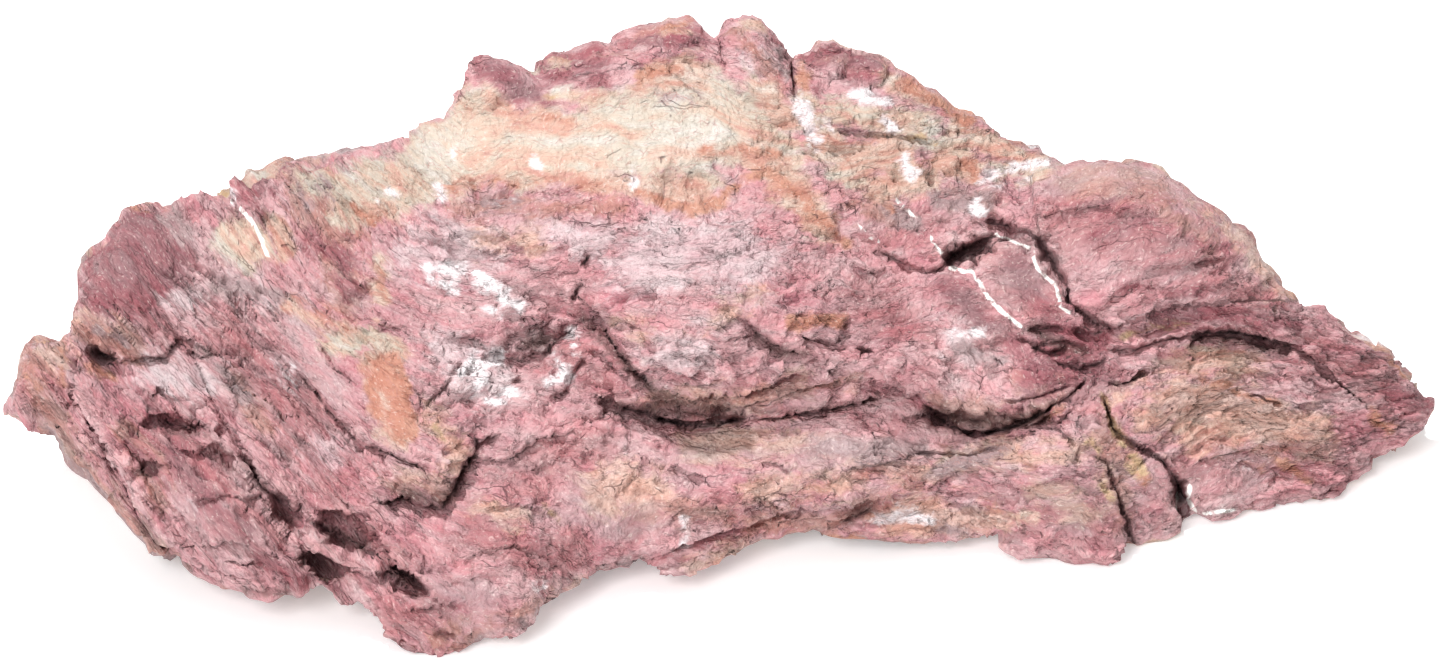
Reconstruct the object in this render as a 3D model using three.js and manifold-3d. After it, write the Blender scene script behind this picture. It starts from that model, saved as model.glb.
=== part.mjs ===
// A weathered chunk of red petrified wood, lying as it rests: one stone, in millimetres, +Z up.
// +X runs along the grain to the thin end, and -Y is the broad face with the ledges and cracks.
// The origin is the middle of the stone's box, on the ground.
//
// The form is lofted through hand-drawn sections across the grain. Its top and bottom edges, its
// ledges, lumps, pits and cracks are drawn on a plane that leans back like the broad face does.

import * as THREE from 'three';
import { ImprovedNoise } from 'three/addons/math/ImprovedNoise.js';
import { mergeVertices } from 'three/addons/utils/BufferGeometryUtils.js';
import Module from 'manifold-3d';

const LENGTH = 228;                       // tip to tip, along the grain
const DEPTH = 118;                        // front foot to the back
const HEIGHT = 69;                        // ground to the highest crag
const LEAN = THREE.MathUtils.degToRad(30); // how far the drawing plane leans back from upright

const STATION_GAP = 3.12;                 // between sections along most of the stone
const TIP_STATION_GAP = 1.1;              // and near its two ends
const TIP_REACH = 12;                     // how much of each end takes the closer sections
const TIP_FADE = 5;                       // how near the very tip the roughness dies away
const STEPS_PER_SPAN = [2, 5, 6, 6, 6, 6, 5, 5, 4, 3];  // ring points between section points

// Sections across the grain at x. Each lists [y, z] round the stone, from y = 0 at the nearest
// foot and z = 0 on the ground: base, foot, low, middle, brow, shoulder, crest, and then behind
// the crest the back's shoulder, middle and foot.
const SECTIONS = [
  { x: -114.2, round: [[43, 19], [39.5, 20], [37.6, 21.5], [37, 23], [37.8, 24.6],
    [40, 25.6], [43, 25.8], [46.5, 24.6], [48.5, 22.3], [47, 20]] },
  { x: -111.5, round: [[46, 15.5], [39, 19.6], [34.5, 23.5], [33, 27], [35, 30.5],
    [40, 32.5], [47, 31.8], [56, 26], [60, 21], [55, 16]] },
  { x: -106, round: [[52, 11], [39, 13.5], [31, 19], [28, 25], [33, 31],
    [42, 34.5], [50, 32], [62, 23.5], [70, 17], [66, 9]] },
  { x: -102.5, round: [[54, 9.5], [38, 11.6], [29, 17], [26, 24], [33, 32],
    [44, 39], [57, 41], [69, 29], [76, 18], [71, 8]] },
  { x: -95, round: [[56, 5.5], [32, 4.9], [22, 12], [23, 24], [35, 32.5],
    [46, 41], [64, 46.5], [78, 34], [87, 18], [82, 4.5]] },
  { x: -84, round: [[55, 3], [18, 3.5], [13, 12], [20, 22.5], [36, 31.5],
    [46, 36], [67, 47.8], [86, 34.5], [98, 18], [94, 1.5]] },
  { x: -64.5, round: [[54, 1], [12, 5.6], [10, 13], [22, 23.5], [38, 33],
    [52, 40], [71, 52.5], [90, 38.5], [103, 20], [99, 0]] },
  { x: -45, round: [[54, 0], [0.5, 0], [4, 11], [19, 22], [38, 34.5],
    [58, 50], [74, 58.5], [94, 43.5], [108, 22], [104, 0]] },
  { x: -26, round: [[58, 0], [12, 4.5], [15, 12.2], [27, 22.2], [42, 34],
    [57, 52], [82, 65], [102, 49], [114, 25], [109, 0]] },
  { x: -6, round: [[62, 1], [27, 3.8], [27.5, 12], [33, 22], [37.5, 36],
    [56, 50.5], [88, 68.6], [107, 52], [118, 26], [113, 0]] },
  { x: 15.5, round: [[62, 2.5], [31, 4.8], [30, 13], [37, 21], [42, 33],
    [55, 44.5], [86, 64.5], [104, 49], [114, 24], [110, 0]] },
  { x: 36, round: [[62, 1.5], [33, 2.4], [34, 10], [39, 18], [44, 27.5],
    [56, 39.5], [81, 56.7], [99, 42], [108, 20], [104, 0]] },
  { x: 54, round: [[62, 0], [30.4, 0], [31, 9], [33, 19], [44, 26],
    [58, 39], [75, 48.4], [93, 34.5], [102, 17], [98, 0]] },
  { x: 65, round: [[64, 0], [34.8, 0], [35, 9], [40, 17.5], [48, 25.5],
    [58, 38], [74, 49.6], [92, 35.5], [101, 17], [97, 0]] },
  { x: 76, round: [[66, 0], [43, 1.2], [44, 9], [49, 17], [53, 25],
    [58, 35], [71, 44.2], [88, 31], [96, 15], [92, 0]] },
  { x: 90.5, round: [[66, 0], [49, 0.1], [50, 7], [53, 13], [57, 19.5],
    [61, 26.5], [67, 29.9], [80, 20], [87, 9], [83, 0]] },
  { x: 103.5, round: [[68, 1], [58, 1.6], [57.5, 6], [59, 10.5], [61, 14.5],
    [63, 18.5], [67, 20.1], [76, 13], [80, 6.5], [77, 1]] },
  { x: 114.2, round: [[69, 6.2], [67.3, 6.6], [66.6, 7.2], [66.4, 8], [66.8, 8.8],
    [67.5, 9.5], [68.5, 9.8], [70, 9], [70.6, 8], [70.2, 6.9]] },
];

// The stone's top and bottom edges on the leaning plane: [x, rise], where rise is the height up
// that plane from the nearest foot.
const TOP_EDGE = [
  [-114.2, 40], [-114, 42.5], [-113.2, 45], [-112.8, 49], [-112, 51], [-109, 51.7], [-105, 51.7],
  [-104.5, 55.5], [-103.7, 58], [-103.4, 62], [-102.5, 65], [-99.5, 67.5], [-98, 70], [-95, 72.5],
  [-92, 73.5], [-88, 73], [-86, 74.5], [-81.5, 74.5], [-78.5, 77.5], [-74, 78.5], [-70, 80.5],
  [-65, 80.5], [-61, 82], [-53.5, 82.7], [-49, 85.5], [-44.5, 88], [-42.5, 90.5], [-41.6, 93],
  [-41.4, 95.6], [-40, 96.5], [-35, 96], [-30, 94.7], [-27, 97.5], [-22, 98.3], [-20.5, 99.2],
  [-17, 99.2], [-16, 100.7], [-10, 102], [-6, 103.4], [-2.5, 101], [-0.6, 98.7], [0.2, 102],
  [3, 103.2], [6, 102.7], [9.5, 99.5], [10.6, 96], [11.2, 94], [11.9, 97.5], [17.5, 99.4],
  [25, 96.8], [32, 92.4], [39, 87.7], [42, 87], [46.5, 82.7], [50.5, 82.2], [54.5, 79], [66, 80],
  [72.5, 77], [78, 72.4], [85, 67.7], [89, 61], [93.5, 57], [98.5, 54.7], [103, 52], [106.7, 48.8],
  [110, 45.8], [112, 43], [114.2, 41.2],
];
const BOTTOM_EDGE = [
  [-114.2, 39.5], [-113.5, 38], [-110, 36], [-107, 34.5], [-105.5, 32], [-103, 29], [-99.5, 25.5],
  [-94.5, 19.7], [-92, 17], [-89, 15.2], [-86, 14], [-83.5, 12], [-75, 9.5], [-69, 9.5],
  [-64.5, 11], [-62, 9], [-56, 7], [-55, 4.5], [-52.5, 2], [-45, 0], [-39, 2.5], [-33, 3.2],
  [-30, 5], [-26, 10], [-17.5, 14.2], [-12.5, 15.2], [-9, 13], [-5, 13], [-0.5, 15.2], [4.5, 18],
  [13.5, 20], [24.5, 18.6], [32, 18.1], [44, 19], [44.6, 16.5], [46.5, 15.6], [56.5, 14.6],
  [63.5, 14.7], [63.8, 17.5], [71, 18.7], [73.4, 20], [73.8, 22], [82.5, 22.8], [91.5, 24.8],
  [98.5, 25.5], [100.5, 28], [103, 29.4], [103.4, 31.5], [109.5, 34], [112.5, 37.5],
  [114.2, 40.6],
];
const EDGE_FADE = 3;                      // how sharply a move of an edge dies away inward
const BACK_FADE = 5;                      // ring points behind the crest that a move still reaches

// Cosines to the leaning plane between which a surface goes from none to all of the drawn relief,
// and those to the other side between which it goes from none to all of the back's relief.
const FACES_FRONT = [0.05, 0.6];
const FACES_BACK = [0, 0.3];

// Swellings of the broad face, and hollows where the height is less than zero.
const LUMPS = [
  { at: [-4, 53], radii: [19, 11], height: 3.5 },    // the central mass
  { at: [31, 47], radii: [11, 6], height: 2.4 },     // its neighbour to the right
  { at: [-52, 41], radii: [6, 9], height: 2.2 },     // the upright slab
  { at: [-92, 62], radii: [10, 8], height: 2 },      // the upper left lobe
  { at: [-88, 45], radii: [7, 4], height: 2.2 },
  { at: [68, 67], radii: [16, 8], height: 2.6 },     // the right lobe
  { at: [-4, 28], radii: [22, 6], height: 2 },
  { at: [-39, 16], radii: [12, 7], height: 2.2 },    // the nearest foot
  { at: [54, 24], radii: [9, 8], height: 1.8 },      // the block at the right foot
  { at: [88, 40], radii: [14, 6], height: 1.5 },
  { at: [-60, 19.5], radii: [5.2, 2.6], height: -8.5 },  // pits in the left foot
  { at: [-64, 14.8], radii: [4, 2], height: -8 },
  { at: [-69.5, 22.5], radii: [3.4, 2.4], height: -6 },
  { at: [-99, 48.5], radii: [2.6, 1.5], height: -5 },
  { at: [-87, 37], radii: [5, 1.8], height: -4.5 },
  { at: [-91, 29], radii: [3.4, 1.8], height: -4 },
  { at: [-79.5, 31], radii: [3.2, 2], height: -4 },
  { at: [-30, 51.5], radii: [5.5, 3.4], height: -3 },
  { at: [-5, 38.7], radii: [7.6, 1.9], height: -6 }, // the recess under the central mass
  { at: [38.5, 38], radii: [7.6, 1.9], height: -6 }, // and the one to its right
  { at: [53, 37], radii: [4.5, 1.8], height: -5 },
  { at: [39, 64.2], radii: [3.8, 2.2], height: -6.5 },
  { at: [18, 22], radii: [12, 2.2], height: -2.5 },
];

// Ledges: the stone above each line stands out over the stone below it. The lines run left to
// right, so that above is on their left hand.
const LEDGES = [
  { step: 5, reach: 6, line: [[-22, 55.5], [-18, 50.5], [-15, 46.5], [-10.5, 42.5], [-2.5, 41],
    [4, 42], [9.5, 44.5], [17, 47.5]] },
  { step: 6.5, reach: 6.5, line: [[-19.5, 40.3], [-10, 38.1], [-5.2, 36.7], [-0.5, 37.3],
    [4.6, 38.1]] },
  { step: 3.4, reach: 4, line: [[2, 37.8], [9.5, 38.1], [16.7, 39.4], [26.5, 41.6]] },
  { step: 7, reach: 7, line: [[22, 45], [26.8, 42.2], [30.6, 41.6], [33.2, 39.2], [37.5, 35.9],
    [43.4, 36], [48.8, 37.2], [53.5, 39.4]] },
  { step: 4.8, reach: 6.5, line: [[-87, 51.3], [-84.3, 48.6], [-82.1, 43.4], [-78.9, 37.8],
    [-75.7, 32.2], [-73.2, 27.3], [-68.8, 23.8], [-64.6, 21.9], [-60, 19], [-53.4, 15.6],
    [-47.5, 11.1]] },
  { step: 2.6, reach: 5, line: [[-67.6, 45.3], [-64.2, 41.6], [-61.6, 38.1], [-59, 35.3],
    [-54.3, 33], [-46.8, 29.7]] },
  { step: 7.5, reach: 7, line: [[-55.7, 23.8], [-51.3, 25.7], [-48.1, 24.6], [-45.1, 23.8],
    [-43, 27], [-41.3, 30.2], [-38.9, 34.3], [-35.1, 36.2]] },
  { step: 3.4, reach: 4, line: [[-44, 52.1], [-39.2, 50.7], [-36.2, 48.8], [-32.4, 47.6],
    [-27.9, 48.8], [-25.9, 50.8]] },
  { step: 3.6, reach: 7, line: [[55.3, 55.4], [59.1, 53.5], [62.3, 52.4], [66.7, 54],
    [69.6, 55.4], [75.4, 55.9], [82.7, 56.7]] },
  { step: 3.8, reach: 6, line: [[67.8, 47.6], [73.7, 49.5], [76.4, 51.6], [82.1, 51.6],
    [86.5, 50.5], [91, 48.6]] },
  { step: 2, reach: 5, line: [[2.5, 55], [6, 51.5], [12, 49], [18, 49.5]] },
  { step: 2.2, reach: 6, line: [[-104, 44], [-96, 49], [-88, 50], [-80, 48]] },
  { step: 2, reach: 5, line: [[42, 33], [48, 32.5], [55, 31.5], [60, 32]] },
];
const LEDGE_LIP = 1.6;                    // half the width over which a ledge's edge steps out
const LEDGE_FADE = { above: 0.6, below: 0.35 };  // shares of a ledge's reach over which it fades
const LEDGE_LIMIT = 2;                    // reaches from its line beyond which a ledge is nothing

// Cracks that gape: width at the surface and depth below it.
const CRACKS = [
  { width: 2.4, depth: 6, line: [[-104.5, 43.5], [-102, 39.5], [-98.5, 33.5], [-95.5, 26.5],
    [-92, 21], [-88.5, 17.5]] },
  { width: 1.6, depth: 4, line: [[-21.5, 64], [-22.5, 59.5], [-25.5, 55]] },
  { width: 2.4, depth: 4, line: [[-0.5, 97.5], [0, 95.5], [3.7, 93.5], [6.5, 88.5],
    [7.5, 84.5]] },
  { width: 3, depth: 5, line: [[11.2, 93], [11.5, 91], [12.5, 88.5]] },
  { width: 1.5, depth: 3, line: [[18, 84.5], [23.5, 84], [34, 82.5]] },
  { width: 2.6, depth: 7, line: [[42.5, 70], [48.5, 69], [51.5, 66], [55, 60], [59.5, 54],
    [63, 52.5]] },
  { width: 1.6, depth: 4, line: [[34, 66], [37, 62.5], [41, 58], [46, 54.5], [50, 51.5]] },
  { width: 2.8, depth: 7, line: [[69, 48], [74, 50], [77, 52.5], [82.5, 53], [87, 51.5],
    [91.5, 50], [96, 46], [102, 41]] },
  { width: 2.4, depth: 8, line: [[61, 42], [62.5, 36.5], [67.5, 33], [71.5, 29.5], [74, 25.5],
    [74, 22.5]] },
  { width: 1.8, depth: 5, line: [[59.5, 32.5], [62.5, 27], [64.5, 22], [65.5, 19.5]] },
  { width: 1.6, depth: 4, line: [[46, 40], [50, 44], [54, 47], [60, 47.5], [66, 46]] },
];
const CRACK_STEP = 4;                     // longest straight stretch of a crack
const CRACK_LIFT = 3;                     // a crack's cutter starts this far outside the stone
const WELD = 0.01;                        // closer points than this are one
const CRACK_END = 0.2;                    // share of a crack's width and depth left at its ends

// Roughness all over, as noise of these wavelengths; along the grain it runs longer.
const ROUGHNESS = [
  { wave: 19, height: 1.8 },
  { wave: 9, height: 1.4 },
  { wave: 5, height: 0.6 },
];
const GRAIN_STRETCH = 1.8;
const NOISE_SHIFT = 7;                    // moves each noise off the others
const BACK_SWELL = { wave: 34, height: 5, shift: 0.5 };  // the hidden side's lumps and hollows
const BACK_LAYER = { gap: 7, step: 2.4, bend: 11.3 };    // its split layers, which the swell bends

const noise = new ImprovedNoise();
const UP_PLANE = new THREE.Vector3(0, Math.sin(LEAN), Math.cos(LEAN));
const OUT = new THREE.Vector3(0, -Math.cos(LEAN), Math.sin(LEAN));

const rise = (point) => point.dot(UP_PLANE);
const smooth = THREE.MathUtils.smoothstep;

// Where x falls among sorted knots: the knot before it and the share of the way to the next.
function locate(knots, x) {
  let before = 0;
  while (before < knots.length - 2 && knots[before + 1] < x) before += 1;
  const share = (x - knots[before]) / (knots[before + 1] - knots[before]);
  return { before, share: THREE.MathUtils.clamp(share, 0, 1) };
}

function edgeAt(edge, x) {
  const { before, share } = locate(edge.map((point) => point[0]), x);
  return THREE.MathUtils.lerp(edge[before][1], edge[before + 1][1], share);
}

// A smooth value at x through the sections' values, with each knot's slope from its neighbours.
function throughSections(valueOf, x) {
  const knots = SECTIONS.map((section) => section.x);
  const values = SECTIONS.map(valueOf);
  const last = knots.length - 1;
  const slope = (i) => {
    const [a, b] = [Math.max(i - 1, 0), Math.min(i + 1, last)];
    return (values[b] - values[a]) / (knots[b] - knots[a]);
  };
  const { before, share } = locate(knots, x);
  const gap = knots[before + 1] - knots[before];
  const [s, s2, s3] = [share, share ** 2, share ** 3];
  return values[before] * (2 * s3 - 3 * s2 + 1) + slope(before) * gap * (s3 - 2 * s2 + s)
    + values[before + 1] * (3 * s2 - 2 * s3) + slope(before + 1) * gap * (s3 - s2);
}

function sectionRing(x) {
  const corners = SECTIONS[0].round.map((_, i) => new THREE.Vector3(
    x,
    throughSections((section) => section.round[i][0], x),
    throughSections((section) => section.round[i][1], x),
  ));
  const curve = new THREE.CatmullRomCurve3(corners, true, 'centripetal');
  const spans = corners.length;
  return STEPS_PER_SPAN.flatMap((steps, span) => Array.from(
    { length: steps },
    (_, step) => curve.getPoint((span + step / steps) / spans),
  ));
}

// Slides a ring up or down the leaning plane so that its top and bottom meet the drawn edges.
function meetEdges(ring, x) {
  const rises = ring.map(rise);
  const [low, high] = [Math.min(...rises), Math.max(...rises)];
  const crest = rises.indexOf(high);
  const liftTop = edgeAt(TOP_EDGE, x) - high;
  const liftBottom = edgeAt(BOTTOM_EDGE, x) - low;
  ring.forEach((point, i) => {
    const share = (rises[i] - low) / (high - low);
    const behind = 1 - smooth(i - crest, 0, BACK_FADE);
    const lift = liftTop * behind * share ** EDGE_FADE + liftBottom * (1 - share) ** EDGE_FADE;
    point.addScaledVector(UP_PLANE, lift);
  });
  return ring;
}

function stations() {
  const end = SECTIONS.at(-1).x;
  const list = [];
  for (let x = -end; x < end; ) {
    list.push(x);
    x += end - Math.abs(x) < TIP_REACH ? TIP_STATION_GAP : STATION_GAP;
  }
  return [...list, end];
}

// Closed rings joined by triangles, each end closed on the middle of its ring.
function loft(rings) {
  const around = rings[0].length;
  const middle = (ring) => ring
    .reduce((sum, point) => sum.add(point), new THREE.Vector3()).divideScalar(around);
  const points = [...rings.flat(), middle(rings[0]), middle(rings.at(-1))];
  const [firstMiddle, lastMiddle] = [points.length - 2, points.length - 1];
  const lastRing = (rings.length - 1) * around;
  const index = [];
  for (let i = 0; i < around; i += 1) {
    const next = (i + 1) % around;
    for (let start = 0; start < lastRing; start += around) {
      const [a, b, c, d] = [start + i, start + next, start + around + i, start + around + next];
      index.push(a, c, b, b, c, d);
    }
    index.push(firstMiddle, i, next);
    index.push(lastMiddle, lastRing + next, lastRing + i);
  }
  const geometry = new THREE.BufferGeometry().setFromPoints(points);
  geometry.setIndex(index);
  return geometry;
}

function lumpHeight(lump, x, up) {
  const [across, along] = [(x - lump.at[0]) / lump.radii[0], (up - lump.at[1]) / lump.radii[1]];
  return lump.height * Math.exp(-(across ** 2 + along ** 2));
}

// Above the line the stone swells, most at the lip; below it the stone is cut back.
function ledgeHeight(ledge, x, up) {
  const { line, step, reach } = ledge;
  const first = line[0][0];
  const last = line.at(-1)[0];
  let nearest = { distance: Infinity };
  for (let i = 1; i < line.length; i += 1) {
    const [[ax, ay], [bx, by]] = [line[i - 1], line[i]];
    const [dx, dy] = [bx - ax, by - ay];
    const along = THREE.MathUtils.clamp(((x - ax) * dx + (up - ay) * dy) / (dx ** 2 + dy ** 2), 0, 1);
    const [offX, offY] = [x - ax - along * dx, up - ay - along * dy];
    const distance = Math.hypot(offX, offY);
    if (distance < nearest.distance) {
      nearest = { distance, side: Math.sign(dx * offY - dy * offX), x: ax + along * dx };
    }
  }
  if (nearest.distance > reach * LEDGE_LIMIT) return 0;
  const ends = smooth(nearest.x, first, first + reach) * (1 - smooth(nearest.x, last - reach, last));
  const edge = nearest.side * Math.min(nearest.distance / LEDGE_LIP, 1);
  const fadeShare = nearest.side > 0 ? LEDGE_FADE.above : LEDGE_FADE.below;
  return edge * (step / 2) * Math.exp(-nearest.distance / (reach * fadeShare)) * ends;
}

function roughness(point) {
  return ROUGHNESS.reduce((sum, { wave, height }, layer) => sum + height * noise.noise(
    point.x / (wave * GRAIN_STRETCH) + layer * NOISE_SHIFT,
    point.y / wave,
    point.z / wave,
  ), 0);
}

// Broad lumps, and saw-toothed layers that follow the grain, as the wood split away.
function backRelief(point) {
  const { wave, height, shift } = BACK_SWELL;
  const { gap, step, bend } = BACK_LAYER;
  const swell = noise.noise(point.x / wave + shift, point.y / wave, point.z / wave);
  const level = (point.z + bend * swell) / gap;
  return height * swell + step * (level - Math.floor(level) - 1 / 2);
}

// Carves the form: the drawn relief stands out from the leaning plane where the stone faces it,
// and the roughness stands out from the surface everywhere.
function carve(geometry) {
  geometry.computeVertexNormals();
  const place = geometry.attributes.position;
  const normals = geometry.attributes.normal;
  const point = new THREE.Vector3();
  const normal = new THREE.Vector3();
  for (let i = 0; i < place.count; i += 1) {
    point.fromBufferAttribute(place, i);
    normal.fromBufferAttribute(normals, i);
    const facing = smooth(normal.dot(OUT), ...FACES_FRONT);
    const drawn = LUMPS.reduce((sum, lump) => sum + lumpHeight(lump, point.x, rise(point)), 0)
      + LEDGES.reduce((sum, ledge) => sum + ledgeHeight(ledge, point.x, rise(point)), 0);
    const atTip = SECTIONS.at(-1).x - Math.abs(point.x);
    const behind = smooth(-normal.dot(OUT), ...FACES_BACK);
    const rough = (roughness(point) + backRelief(point) * behind) * smooth(atTip, 0, TIP_FADE);
    point.addScaledVector(OUT, drawn * facing).addScaledVector(normal, rough);
    place.setXYZ(i, point.x, point.y, point.z);
  }
  return geometry;
}

// The stone rests on the flats where its underside was worn down to the ground.
function wearFlat(geometry) {
  const place = geometry.attributes.position;
  for (let i = 0; i < place.count; i += 1) place.setZ(i, Math.max(place.getZ(i), 0));
  return geometry;
}

// Where a line square to the leaning plane meets the stone, and which way is out of it there:
// midway between square to that plane and square to the stone.
function onSurface(stone, x, up) {
  const from = new THREE.Vector3(x, 0, 0).addScaledVector(UP_PLANE, up).addScaledVector(OUT, LENGTH);
  const [hit] = new THREE.Raycaster(from, OUT.clone().negate()).intersectObject(stone);
  return hit && { surface: hit.point, outward: hit.face.normal.clone().add(OUT).normalize() };
}

// A wedge that follows a crack for as long as it is over the stone: at each point it is as wide
// as the crack at the surface, and its edge lies at the crack's depth.
function crackCutter({ line, width, depth }, stone) {
  const path = new THREE.CatmullRomCurve3(line.map(([x, up]) => new THREE.Vector3(x, up, 0)));
  const steps = Math.ceil(path.getLength() / CRACK_STEP);
  const places = path.getSpacedPoints(steps)
    .map(({ x, y }, i) => ({ ...onSurface(stone, x, y), heading: path.getTangentAt(i / steps) }))
    .filter(({ surface }) => surface);
  const widen = 1 + CRACK_LIFT / depth;
  return loft(places.map(({ surface, outward, heading }, i) => {
    const across = new THREE.Vector3(heading.y, 0, 0).addScaledVector(UP_PLANE, -heading.x);
    const share = i === 0 || i === places.length - 1 ? CRACK_END : 1;
    const mouth = surface.clone().addScaledVector(outward, CRACK_LIFT * share);
    const half = width * widen * share / 2;
    return [
      mouth.clone().addScaledVector(across, -half),
      surface.clone().addScaledVector(outward, -depth * share),
      mouth.clone().addScaledVector(across, half),
    ];
  }));
}

function toSolid(wasm, geometry) {
  const welded = weld(geometry);
  return new wasm.Manifold(new wasm.Mesh({
    numProp: 3,
    vertProperties: new Float32Array(welded.attributes.position.array),
    triVerts: new Uint32Array(welded.index.array),
  }));
}

// Joins points that lie closer than WELD, and drops the triangles that this leaves with no area.
function weld(geometry) {
  const bare = geometry.clone();
  bare.deleteAttribute('normal');
  const welded = mergeVertices(bare, WELD);
  const corners = [...welded.index.array];
  const whole = [];
  for (let i = 0; i < corners.length; i += 3) {
    const [a, b, c] = corners.slice(i, i + 3);
    if (a !== b && b !== c && c !== a) whole.push(a, b, c);
  }
  welded.setIndex(whole);
  return welded;
}

function fromSolid(solid) {
  const { vertProperties, triVerts } = solid.getMesh();
  const geometry = new THREE.BufferGeometry();
  geometry.setAttribute('position', new THREE.BufferAttribute(new Float32Array(vertProperties), 3));
  geometry.setIndex(new THREE.BufferAttribute(new Uint32Array(triVerts), 1));
  return geometry;
}

// Moves the stone's box to the origin and gives it the driving sizes.
function toSize(geometry) {
  geometry.computeBoundingBox();
  const { min, max } = geometry.boundingBox;
  geometry.translate(-(min.x + max.x) / 2, -(min.y + max.y) / 2, -min.z);
  geometry.scale(LENGTH / (max.x - min.x), DEPTH / (max.y - min.y), HEIGHT / (max.z - min.z));
  geometry.computeVertexNormals();
  return geometry;
}

async function petrifiedWood() {
  const wasm = await Module();
  wasm.setup();
  const rings = stations().map((x) => meetEdges(sectionRing(x), x));
  const form = wearFlat(carve(loft(rings)));
  const stone = new THREE.Mesh(form);
  const cracks = CRACKS.map((crack) => toSolid(wasm, crackCutter(crack, stone)));
  const cracked = cracks.reduce((rest, crack) => rest.subtract(crack), toSolid(wasm, form));
  const [solid] = cracked.decompose().sort((a, b) => b.volume() - a.volume());  // no loose chips
  const material = new THREE.MeshStandardMaterial({ color: 0x9c5f5b, roughness: 0.75, metalness: 0 });
  const mesh = new THREE.Mesh(toSize(weld(fromSolid(solid))), material);
  mesh.name = 'petrified_wood';
  return mesh;
}

const group = new THREE.Group();
group.add(await petrifiedWood());

export default group;
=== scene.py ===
"""A weathered chunk of red petrified wood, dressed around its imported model.

The stone is built again as one fine mesh: the same sections across the grain as in the solid,
then ledges, cracks and pits drawn as the front view shows them, then flakes that follow the
grain. Its colours are a procedural material steered by soft masks on the mesh.
"""

import math

import bpy
import numpy as np
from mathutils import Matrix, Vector


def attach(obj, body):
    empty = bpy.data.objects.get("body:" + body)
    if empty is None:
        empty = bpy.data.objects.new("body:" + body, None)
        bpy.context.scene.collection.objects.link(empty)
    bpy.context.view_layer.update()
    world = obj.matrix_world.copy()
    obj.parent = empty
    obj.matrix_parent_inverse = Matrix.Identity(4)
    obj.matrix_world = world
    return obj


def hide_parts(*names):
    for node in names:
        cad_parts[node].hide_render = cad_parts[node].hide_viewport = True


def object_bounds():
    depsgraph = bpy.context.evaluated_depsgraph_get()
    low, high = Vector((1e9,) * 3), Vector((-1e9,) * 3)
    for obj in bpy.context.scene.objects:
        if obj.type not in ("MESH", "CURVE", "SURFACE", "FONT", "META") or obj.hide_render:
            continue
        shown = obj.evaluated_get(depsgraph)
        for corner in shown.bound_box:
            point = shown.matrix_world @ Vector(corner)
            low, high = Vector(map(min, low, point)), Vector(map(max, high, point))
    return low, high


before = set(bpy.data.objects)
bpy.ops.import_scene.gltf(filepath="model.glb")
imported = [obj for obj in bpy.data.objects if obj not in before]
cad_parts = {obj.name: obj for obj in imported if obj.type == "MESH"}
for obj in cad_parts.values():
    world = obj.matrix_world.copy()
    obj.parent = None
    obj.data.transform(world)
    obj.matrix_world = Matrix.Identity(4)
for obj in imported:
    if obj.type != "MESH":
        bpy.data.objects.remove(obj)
cad_low, cad_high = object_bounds()

NODE = "petrified_wood"
MM = 0.001
SEED = 7

# ---------------------------------------------------------------- the view
# Front-view places are given in the picture's frame of 1445 by 660 pixels.

VIEW_WIDTH, VIEW_HEIGHT = 1445, 660
PIXEL = 0.1588              # mm across one pixel at the middle of the stone
ELEVATION = math.radians(30)
LENS = 400                  # mm: a long lens, seen from far off
SENSOR = 36
DISTANCE = VIEW_WIDTH * PIXEL * LENS / SENSOR
ZERO_U, ZERO_V = 723, 658   # the pixel of x = 0 and of the nearest foot
MIDDLE_DEPTH = 62           # y of the plane on which PIXEL is measured, at the ground

UP = np.array([0, math.sin(ELEVATION), math.cos(ELEVATION)])
OUT = np.array([0, -math.cos(ELEVATION), math.sin(ELEVATION)])


def view_target():
    """The point, in drawn mm, that the middle of the picture looks at."""
    x = (VIEW_WIDTH / 2 - ZERO_U) * PIXEL
    rise = (ZERO_V - VIEW_HEIGHT / 2) * PIXEL
    depth = 0.5 * MIDDLE_DEPTH * math.cos(ELEVATION)
    return np.array([x, 0, 0]) + UP * rise - OUT * depth


TARGET = view_target()


def project(points):
    """The picture's pixel of each drawn point."""
    away = DISTANCE - (points - TARGET) @ OUT
    scale = DISTANCE / away / PIXEL
    u = VIEW_WIDTH / 2 + (points[:, 0] - TARGET[0]) * scale
    v = VIEW_HEIGHT / 2 - ((points - TARGET) @ UP) * scale
    return np.stack([u, v], axis=1)


# ---------------------------------------------------------------- the form, in mm
# Sections across the grain at x: [y, z] round the stone, from y = 0 at the nearest foot and
# z = 0 on the ground: base, foot, low, middle, brow, shoulder, crest, back's shoulder, middle, foot.

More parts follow.
